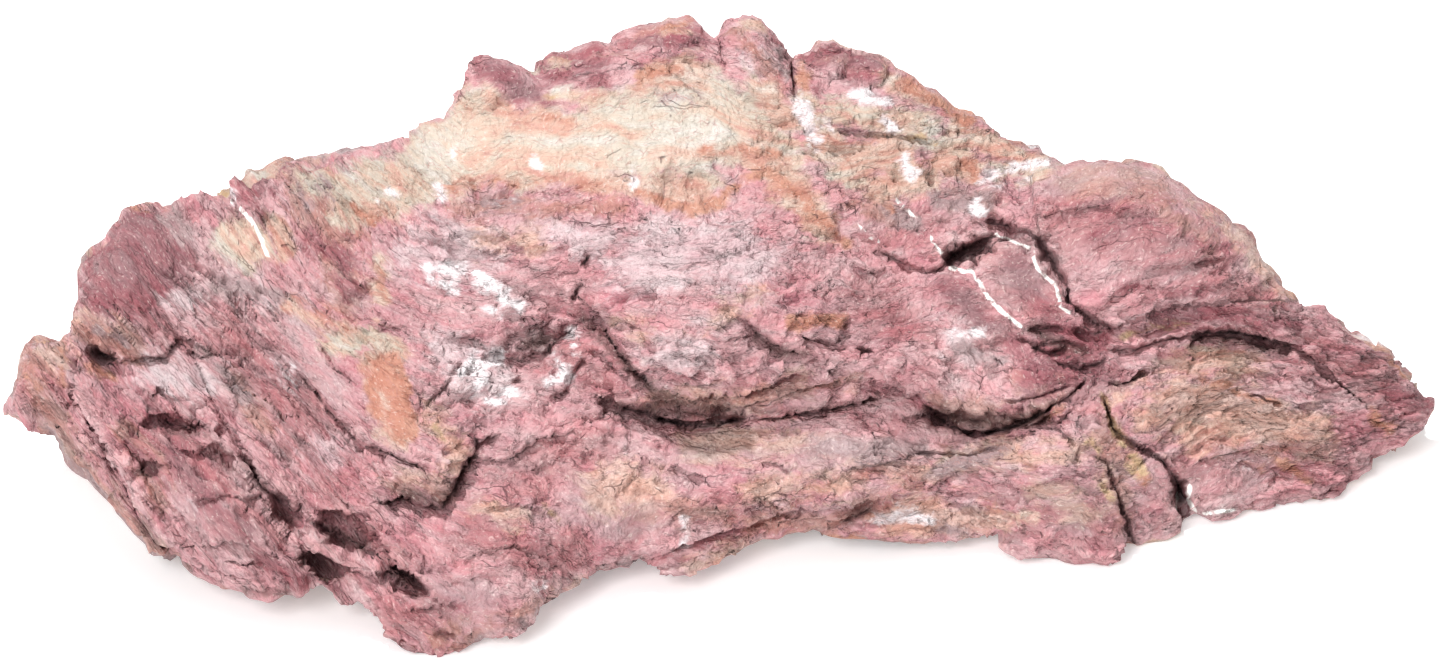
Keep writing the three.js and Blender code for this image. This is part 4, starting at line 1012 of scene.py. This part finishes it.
# The colours that lie over the mauve, each over the ones before it: strokes, softness in pixels,
# how common the colour is on the sides that the picture hides, and how ragged its edge is.
ZONES = {
    "lilac": (LILAC_AND_HIGHLIGHTS, 30, -0.1, 4.2), "rose": (ROSE, 34, 0.1, 4.0), "buff": (BUFF, 20, 0.0, 4.2),
    "brown": (BROWN_AND_SHADE, 18, 0.1, 4.2), "maroon": (MAROON, 14, -0.1, 4.2), "cream": (CREAM, 14, -0.15, 3.8),
    "peach": (PEACH, 12, -0.3, 3.4), "grey": (GREY, 12, -0.3, 4.0), "orange": (ORANGE, 8, -0.3, 3.2),
    "ochre": (OCHRE, 7, -0.9, 3.0), "white": (WHITE, 8, -0.8, 4.0),
}
ZONE_WAVER_SIZE, ZONE_WAVER, LINE_WAVER = 16, 5, 1.2     # pixels
HIDDEN_ZONE_SIZE, HIDDEN_ZONE_SPREAD = np.array([44, 17, 26]), 2.3      # mm, and a gain
HIDDEN_ZONE_RARITY = 0.55
CRACK_LINE_SHARE, CRACK_LINE_MOST = 0.3, 2.4            # of a crack's width, and in pixels
LINE_SOFT, SHADE_SOFT = 4, 9                            # pixels


def paint_masks(stone, step):
    """Writes the grain's directions and the colour masks on the finished mesh."""
    mesh = stone.data
    flat = np.empty(len(mesh.vertices) * 3)
    mesh.vertices.foreach_get("co", flat)
    points = flat.reshape(-1, 3) / MM - step
    pixels = project(points)
    facing = get_values(mesh, "facing")
    noise = Noise(SEED + 20)
    flat_pixels = np.column_stack([pixels / ZONE_WAVER_SIZE, np.zeros(len(pixels))])
    wander = np.column_stack([noise.layered(flat_pixels, 3), noise.layered(flat_pixels + 70, 3)])
    places = grain_places(points, pixels)
    set_values(mesh, "grain", places)
    for index, (name, (strokes, soft, common, _)) in enumerate(ZONES.items()):
        drawn = stroke_mask(pixels + ZONE_WAVER * wander, strokes, soft)
        patches = HIDDEN_ZONE_SPREAD * noise.layered(places / HIDDEN_ZONE_SIZE + 90 * index, 3)
        hidden = patches + common - HIDDEN_ZONE_RARITY
        set_values(mesh, name, np.clip(facing * drawn + (1 - facing) * hidden, -1, 1))
    fine = pixels + LINE_WAVER * wander
    out_of_view = 2 * (1 - smooth_step(0.1, 0.5, facing))
    # The middles of the drawn cracks, darkened as painted shade, and the hair cracks with them.
    lines = [(min(width * CRACK_LINE_SHARE, CRACK_LINE_MOST), line) for width, _, line in CRACKS]
    set_values(mesh, "crack", stroke_mask(fine, lines + HAIR_CRACKS, LINE_SOFT) - out_of_view)
    set_values(mesh, "vein", stroke_mask(fine, WHITE_VEINS, LINE_SOFT) - out_of_view)
    # Painted shade in the hollows and on the undersides.
    set_values(mesh, "shade", stroke_mask(fine, SHADE, SHADE_SOFT) - out_of_view)


# ---------------------------------------------------------------- the material

class Graph:
    """Short calls for the nodes of one material."""

    def __init__(self, name):
        self.material = bpy.data.materials.new(name)
        self.material.use_nodes = True
        self.nodes = self.material.node_tree.nodes
        self.links = self.material.node_tree.links
        self.shader = self.nodes["Principled BSDF"]

    def put(self, socket, value):
        """Links a socket to the input, or sets the input to a number or a colour."""
        if isinstance(value, bpy.types.NodeSocket):
            self.links.new(value, socket)
        else:
            socket.default_value = value

    def attribute(self, name, output="Fac"):
        """What the mesh holds under this name."""
        node = self.nodes.new("ShaderNodeAttribute")
        node.attribute_name = name
        return node.outputs[output]

    def math(self, operation, a, b=0.0):
        """One sum on two values, each a socket or a number."""
        node = self.nodes.new("ShaderNodeMath")
        node.operation = operation
        self.put(node.inputs[0], a)
        self.put(node.inputs[1], b)
        return node.outputs[0]

    def plus(self, a, b):
        return self.math("ADD", a, b)

    def minus(self, a, b):
        return self.math("SUBTRACT", a, b)

    def times(self, a, b):
        return self.math("MULTIPLY", a, b)

    def step(self, value, low, high, least=0.0, most=1.0):
        """A smooth step of the value from least at low to most at high."""
        node = self.nodes.new("ShaderNodeMapRange")
        node.interpolation_type = "SMOOTHSTEP"
        for socket, number in zip(node.inputs, (value, low, high, least, most)):
            self.put(socket, number)
        return node.outputs[0]

    def scaled(self, place, sizes, shift):
        """The place in units of these sizes, moved by the shift along each axis."""
        node = self.nodes.new("ShaderNodeMapping")
        self.put(node.inputs["Vector"], place)
        node.inputs["Scale"].default_value = [1 / size for size in sizes]
        node.inputs["Location"].default_value = (shift, shift, shift)
        return node.outputs[0]

    def noise(self, place, sizes, detail, roughness, shift):
        """Soft noise in lumps of these sizes, about 0.3 to 0.7."""
        node = self.nodes.new("ShaderNodeTexNoise")
        self.put(node.inputs["Vector"], self.scaled(place, sizes, shift))
        node.inputs["Scale"].default_value = 1
        node.inputs["Detail"].default_value = detail
        node.inputs["Roughness"].default_value = roughness
        return node.outputs["Fac"]

    def cells(self, place, sizes, feature, shift):
        """How far the place is from the middle or the edge of its cell."""
        node = self.nodes.new("ShaderNodeTexVoronoi")
        node.feature = feature
        self.put(node.inputs["Vector"], self.scaled(place, sizes, shift))
        node.inputs["Scale"].default_value = 1
        return node.outputs["Distance"]

    def total(self, *parts):
        """The sum of each value times its weight."""
        terms = [self.times(value, weight) for weight, value in parts]
        total = terms[0]
        for term in terms[1:]:
            total = self.plus(total, term)
        return total

    def warped(self, place, size, most):
        """The place, pushed about by up to most mm in swirls of this size."""
        swirl = self.nodes.new("ShaderNodeTexNoise")
        self.put(swirl.inputs["Vector"], self.scaled(place, (size, size, size), 60))
        swirl.inputs["Scale"].default_value = 1
        push = self.nodes.new("ShaderNodeVectorMath")
        push.operation = "MULTIPLY_ADD"
        self.put(push.inputs[0], swirl.outputs["Color"])
        push.inputs[1].default_value = (most, most, most)
        self.put(push.inputs[2], place)
        return push.outputs[0]

    def lips(self, place, spacing):
        """Split edges along the grain: their height, and the thin shade under each."""
        split = self.nodes.new("ShaderNodeSeparateXYZ")
        self.put(split.inputs[0], place)
        wander = self.noise(place, *LIP_WAVER)
        level = self.total((1 / spacing, split.outputs["Y"]), (5.0, wander))
        share = self.math("FRACT", level)
        patch = self.step(self.noise(place, *LIP_PATCHES), 0.48, 0.57)
        height = self.times(self.minus(1.0, share), patch)
        under = self.times(self.step(share, 0.86, 0.97), patch)
        return height, under

    def faded(self, colour, value, calm):
        """The colour, paler where the value is low, and a little duller where the stone is smooth."""
        node = self.nodes.new("ShaderNodeHueSaturation")
        vivid = self.step(value, 0.32, 0.66, least=0.82, most=1.12)
        bright = self.step(value, 0.32, 0.66, least=0.92, most=1.01)
        self.put(node.inputs["Saturation"], self.total((1.0, vivid), (-0.1, calm)))
        self.put(node.inputs["Value"], self.total((1.0, bright), (-0.15, calm)))
        self.put(node.inputs["Color"], colour)
        return node.outputs["Color"]

    def ramp(self, value, stops):
        """The colour at the value, between stops of (place, colour)."""
        node = self.nodes.new("ShaderNodeValToRGB")
        elements = node.color_ramp.elements
        while len(elements) < len(stops):
            elements.new(0.5)
        for element, (place, colour) in zip(elements, stops):
            element.position = place
            element.color = (*colour, 1)
        self.put(node.inputs["Fac"], value)
        return node.outputs["Color"]

    def mix(self, share, a, b):
        """Colour a with this share of colour b over it."""
        node = self.nodes.new("ShaderNodeMix")
        node.data_type = "RGBA"
        self.put(node.inputs["Factor"], share)
        self.put(node.inputs["A"], a)
        self.put(node.inputs["B"], b)
        return node.outputs["Result"]


# The colours from dark to light: stops of (place, colour).
COLOURS = {
    "mauve": [(0.26, (0.31, 0.108, 0.133)), (0.38, (0.39, 0.163, 0.187)), (0.50, (0.485, 0.252, 0.266)),
              (0.62, (0.525, 0.34, 0.346)), (0.74, (0.56, 0.42, 0.418))],
    "rose": [(0.28, (0.25, 0.085, 0.094)), (0.44, (0.33, 0.135, 0.145)), (0.58, (0.405, 0.20, 0.206)),
             (0.72, (0.475, 0.295, 0.295))],
    "lilac": [(0.28, (0.42, 0.23, 0.255)), (0.44, (0.515, 0.345, 0.362)), (0.58, (0.57, 0.43, 0.44)),
              (0.72, (0.635, 0.54, 0.545))],
    "buff": [(0.28, (0.34, 0.165, 0.135)), (0.44, (0.45, 0.25, 0.204)), (0.58, (0.54, 0.345, 0.288)),
             (0.72, (0.625, 0.458, 0.39))],
    "brown": [(0.28, (0.26, 0.11, 0.095)), (0.44, (0.33, 0.16, 0.14)), (0.58, (0.41, 0.22, 0.195)),
              (0.72, (0.50, 0.32, 0.28))],
    "maroon": [(0.28, (0.17, 0.048, 0.06)), (0.46, (0.25, 0.085, 0.10)), (0.62, (0.325, 0.135, 0.145)),
               (0.76, (0.42, 0.215, 0.21))],
    "cream": [(0.26, (0.42, 0.22, 0.18)), (0.37, (0.46, 0.30, 0.235)), (0.47, (0.46, 0.35, 0.28)),
              (0.57, (0.445, 0.38, 0.315)), (0.67, (0.45, 0.405, 0.352)), (0.80, (0.51, 0.47, 0.43))],
    "peach": [(0.26, (0.38, 0.162, 0.13)), (0.40, (0.44, 0.235, 0.182)), (0.52, (0.465, 0.30, 0.24)),
              (0.65, (0.49, 0.37, 0.305)), (0.80, (0.555, 0.47, 0.415))],
    "grey": [(0.28, (0.15, 0.09, 0.09)), (0.44, (0.24, 0.155, 0.155)), (0.58, (0.32, 0.225, 0.228)),
             (0.72, (0.42, 0.33, 0.335))],
    "orange": [(0.28, (0.30, 0.105, 0.07)), (0.46, (0.38, 0.16, 0.11)), (0.60, (0.45, 0.235, 0.17)),
               (0.74, (0.52, 0.35, 0.27))],
    "ochre": [(0.30, (0.28, 0.16, 0.085)), (0.50, (0.42, 0.28, 0.16)), (0.70, (0.58, 0.44, 0.29))],
    "white": [(0.30, (0.56, 0.47, 0.48)), (0.50, (0.72, 0.655, 0.665)), (0.70, (0.86, 0.83, 0.84))],
}
MARBLED = ("cream", "peach")
# Painted shade deep in the drawn cracks; it also darkens the hair cracks.
CRACK_SHADE = (0.045, 0.025, 0.024, 1)
# Painted shade for the hollows and undersides.
UNDERSIDE_SHADE = (0.09, 0.045, 0.04, 1)
VEIN = (0.95, 0.92, 0.88, 1)
GROWTH_LINE = (0.35, 0.155, 0.135, 1)
CRAZE_LINE = (0.30, 0.13, 0.12, 1)
# Painted shade for the hollows.
HOLLOW_SHADE = (0.155, 0.056, 0.068, 1)
# Painted highlight for the raised edges.
EDGE_HIGHLIGHT = (0.80, 0.62, 0.56, 1)
PALE_GRAIN = (0.86, 0.73, 0.67, 1)
DARK_GRAIN = (0.175, 0.074, 0.080, 1)
# Painted shade in a thin line under each split edge.
LIP_SHADE = (0.135, 0.050, 0.062, 1)
HAIR_CRACK = (0.095, 0.036, 0.045, 1)

# Noise in the grain: sizes in mm along, across and out of it, detail, roughness and shift.
BROAD = ((20, 11, 14), 4, 0.6, 0)
STREAKS = ((4.2, 1.9, 3), 4, 0.6, 5)
GRIT = ((0.6, 0.5, 0.55), 2, 0.6, 9)
CRUMBS = ((2.0, 1.4, 1.8), 3, 0.6, 14)
LAYERS = ((2.8, 1.2, 1.8), 5, 0.65, 33)
FLOW = ((17, 2.6, 8), 4, 0.5, 40)
BROKEN = ((12, 6, 9), 3, 0.6, 50)
FADING = ((9, 3, 6), 4, 0.6, 61)
LIP_WAVER = ((6, 3, 4), 4, 0.6, 71)
LIP_PATCHES = ((9, 4, 7), 4, 0.6, 83)
ZONE_EDGE = ((6, 2.8, 4), 6, 0.66)      # its shift differs from zone to zone
# Cells in the grain: sizes in mm, what is read of them, and shift.
SPLITS = ((11, 2.8, 5), "DISTANCE_TO_EDGE", 0)
CRAZE = ((5.4, 3.4, 4), "DISTANCE_TO_EDGE", 13)
CRYSTALS = ((0.85, 0.7, 0.8), "F1", 3)
FINE_SWIRL, BROAD_SWIRL = (5.0, 3.0), (15.0, 12.0)      # mm: size, and the most that it pushes
LIP_SPACING = 2.0               # mm
GROWTH_LINES = 17.0             # in one full swing of the flow
SPREAD, SPREAD_MIDDLE = 0.95, 0.5       # how far the colours swing, and about what
BUMP_STRENGTH, BUMP_DEPTH = 0.9, 0.0009                 # the depth in metres
SHINE = 0.35                    # the specular level


class Stone:
    """The places, noises and masks that several parts of the stone's material share."""

    def __init__(self, graph):
        place = graph.attribute("grain", "Vector")
        self.graph = graph
        self.grain = graph.warped(place, *FINE_SWIRL)
        self.streaks = graph.noise(self.grain, *STREAKS)
        self.grit = graph.noise(self.grain, *GRIT)
        self.crumbs = graph.noise(self.grain, *CRUMBS)
        self.flow = graph.noise(graph.warped(place, *BROAD_SWIRL), *FLOW)
        self.calm = graph.attribute("calm")
        self.rough = graph.total((-0.6, self.calm), (1.0, 1.0))
        self.veined = 0.0


def zone_colours(stone):
    """Mauve, with each zone's colour over it inside a ragged mask."""
    graph = stone.graph
    broad = graph.noise(stone.grain, *BROAD)
    even = graph.total((0.42, broad), (0.34, stone.streaks), (0.24, stone.crumbs))
    swing = graph.times(graph.minus(even, SPREAD_MIDDLE), SPREAD)
    spread = graph.plus(swing, SPREAD_MIDDLE)
    marbled = graph.total((1.25, stone.flow), (0.3, stone.crumbs), (0.4, stone.streaks))
    marbled = graph.minus(marbled, 0.46)
    colour = graph.ramp(spread, COLOURS["mauve"])
    for index, (name, (_, _, _, raggedness)) in enumerate(ZONES.items()):
        if name == "cream":
            colour = graph.faded(colour, graph.noise(stone.grain, *FADING), stone.calm)
        edge = graph.noise(stone.grain, *ZONE_EDGE, 20 + 7 * index)
        ragged = graph.minus(edge, 0.5)
        inside = graph.plus(graph.attribute(name), graph.times(ragged, raggedness))
        share = graph.step(inside, -0.4, 0.7)
        if name in MARBLED:
            own = marbled
            stone.veined = graph.math("MAXIMUM", share, stone.veined)
        else:
            own = graph.plus(spread, graph.times(ragged, 0.3))
        colour = graph.mix(share, colour, graph.ramp(own, COLOURS[name]))
    return colour


def with_growth_lines(stone, colour):
    """Thin lines in bands and in a mesh of crazing, mostly on the marbled colours."""
    graph = stone.graph
    band = graph.math("FRACT", graph.times(stone.flow, GROWTH_LINES))
    amount = graph.total((0.32, stone.veined), (0.14, 1.0))
    line = graph.times(graph.step(band, 0.2, 0.02), amount)
    colour = graph.mix(line, colour, GROWTH_LINE)
    gap = graph.step(graph.cells(stone.grain, *CRAZE), 0.03, 0.0)
    craze = graph.times(gap, graph.step(stone.streaks, 0.50, 0.58))
    amount = graph.total((0.5, stone.veined))
    return graph.mix(graph.times(craze, amount), colour, CRAZE_LINE)


def with_shade_highlights_and_grains(stone, colour):
    """Painted shade in hollows and undersides, painted highlights on raised edges, pale and dark grains."""
    graph = stone.graph
    uneven = graph.total((1.6, stone.crumbs), (-0.8, 1.0))
    shade = graph.plus(graph.attribute("shade"), uneven)
    colour = graph.mix(graph.step(shade, -0.6, 0.8, most=0.8), colour, UNDERSIDE_SHADE)
    hollow = graph.attribute("hollow")
    # Painted shade where the surface stands lower than its surroundings.
    colour = graph.mix(graph.step(hollow, 0.0, -2.0, most=0.36), colour, HOLLOW_SHADE)
    # Painted highlight where the surface stands higher than its surroundings.
    colour = graph.mix(graph.step(hollow, 0.2, 1.2, most=0.06), colour, EDGE_HIGHLIGHT)
    colour = graph.mix(graph.step(stone.grit, 0.57, 0.72, most=0.25), colour, PALE_GRAIN)
    amount = graph.total((-0.18, stone.veined), (0.3, 1.0))
    speck = graph.times(graph.step(stone.grit, 0.44, 0.30), amount)
    return graph.mix(speck, colour, DARK_GRAIN)


def with_cracks(stone, colour, under, hair):
    """Painted shade under split edges and in the drawn cracks, hair cracks, and white veins."""
    graph = stone.graph
    uneven = graph.minus(stone.crumbs, 0.5)
    vein = graph.plus(graph.attribute("vein"), graph.times(uneven, 0.5))
    crack = graph.plus(graph.attribute("crack"), uneven)
    amount = graph.total((-0.26, stone.veined), (0.4, 1.0))
    # Painted shade under the split edges, fainter on the marbled colours.
    colour = graph.mix(graph.times(under, amount), colour, LIP_SHADE)
    colour = graph.mix(graph.times(hair, 0.55), colour, HAIR_CRACK)
    colour = graph.mix(graph.step(vein, -0.2, 0.2), colour, VEIN)
    # Painted shade in the drawn cracks, also darkening the hair cracks.
    return graph.mix(graph.step(crack, 0.0, 0.5, most=0.85), colour, CRACK_SHADE)


def bump_normal(stone, lips, hair):
    """The finest relief: layers, crumbs, split edges, hair cracks and crystals."""
    graph = stone.graph
    layers = graph.times(graph.noise(stone.grain, *LAYERS), stone.rough)
    crystals = graph.cells(stone.grain, *CRYSTALS)
    raised = graph.times(lips, graph.total((-0.75, stone.veined), (1.0, 1.0)))
    height = graph.total((0.9, layers), (0.3, stone.grit), (0.55, stone.crumbs), (0.9, raised),
                         (-0.6, hair), (-0.3, crystals))
    bump = graph.nodes.new("ShaderNodeBump")
    bump.inputs["Strength"].default_value = BUMP_STRENGTH
    bump.inputs["Distance"].default_value = BUMP_DEPTH
    graph.put(bump.inputs["Height"], height)
    return bump.outputs["Normal"]


def stone_material():
    """The petrified wood: its colours from the broadest to the finest, then its finest relief."""
    graph = Graph("petrified_wood")
    stone = Stone(graph)
    colour = zone_colours(stone)
    colour = with_growth_lines(stone, colour)
    colour = with_shade_highlights_and_grains(stone, colour)
    lips, under = (graph.times(part, stone.rough) for part in graph.lips(stone.grain, LIP_SPACING))
    gap = graph.step(graph.cells(stone.grain, *SPLITS), 0.022, 0.0)
    here = graph.step(graph.noise(stone.grain, *BROKEN), 0.58, 0.64)
    hair = graph.times(graph.times(gap, here), stone.rough)
    colour = with_cracks(stone, colour, under, hair)
    graph.put(graph.shader.inputs["Base Color"], colour)
    dullness = graph.step(stone.crumbs, 0.35, 0.65, least=0.5, most=0.82)
    graph.put(graph.shader.inputs["Roughness"], dullness)
    graph.shader.inputs["Specular IOR Level"].default_value = SHINE
    graph.put(graph.shader.inputs["Normal"], bump_normal(stone, lips, hair))
    return graph.material


# ---------------------------------------------------------------- floor, light and camera

FLOOR_SIZE = 12             # metres
FLOOR_GLOW = 0.27           # lifts the white floor to the picture's bleached ground
NEAR_LIMIT, FAR_LIMIT = 0.1, 20         # metres from the camera
WHITE_LIGHT = (1, 1, 1, 1)


def make_floor():
    """The white ground that the stone lies on."""
    bpy.ops.mesh.primitive_plane_add(size=FLOOR_SIZE, location=(0, 0, cad_low[2]))
    floor = bpy.context.object
    floor.name = "floor"
    graph = Graph("floor")
    graph.shader.inputs["Base Color"].default_value = (0.9, 0.9, 0.9, 1)
    graph.shader.inputs["Roughness"].default_value = 0.95
    graph.shader.inputs["Emission Color"].default_value = WHITE_LIGHT
    graph.shader.inputs["Emission Strength"].default_value = FLOOR_GLOW
    floor.data.materials.append(graph.material)


def make_sun(name, towards, strength, softness):
    """A far light that stands in the direction towards, softness degrees across."""
    data = bpy.data.lights.new(name, "SUN")
    data.energy = strength
    data.angle = math.radians(softness)
    light = bpy.data.objects.new(name, data)
    light.rotation_mode = "QUATERNION"
    light.rotation_quaternion = Vector(towards).to_track_quat("Z", "Y")
    bpy.context.collection.objects.link(light)


def make_world(strength):
    """White light from all round."""
    world = bpy.data.worlds.new("pale")
    world.use_nodes = True
    background = world.node_tree.nodes["Background"]
    background.inputs["Color"].default_value = WHITE_LIGHT
    background.inputs["Strength"].default_value = strength
    bpy.context.scene.world = world


def make_camera(step):
    """The camera that sees the stone as the picture does."""
    data = bpy.data.cameras.new("camera")
    data.lens = LENS
    data.sensor_width = SENSOR
    data.clip_start, data.clip_end = NEAR_LIMIT, FAR_LIMIT
    camera = bpy.data.objects.new("camera", data)
    camera.location = (TARGET + OUT * DISTANCE + step) * MM
    camera.rotation_euler = (math.pi / 2 - ELEVATION, 0, 0)
    bpy.context.collection.objects.link(camera)
    bpy.context.scene.camera = camera


stone, step = build_stone()
paint_masks(stone, step)
stone.data.materials.append(stone_material())
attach(stone, "root")
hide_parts(NODE)

make_floor()
make_sun("key", towards=(-0.22, 0.06, 1), strength=3.2, softness=5)
make_sun("fill", towards=(-0.4, -1, 0.8), strength=2.2, softness=25)
make_world(strength=0.68)
make_camera(step)
bpy.context.scene.view_settings.view_transform = "Standard"
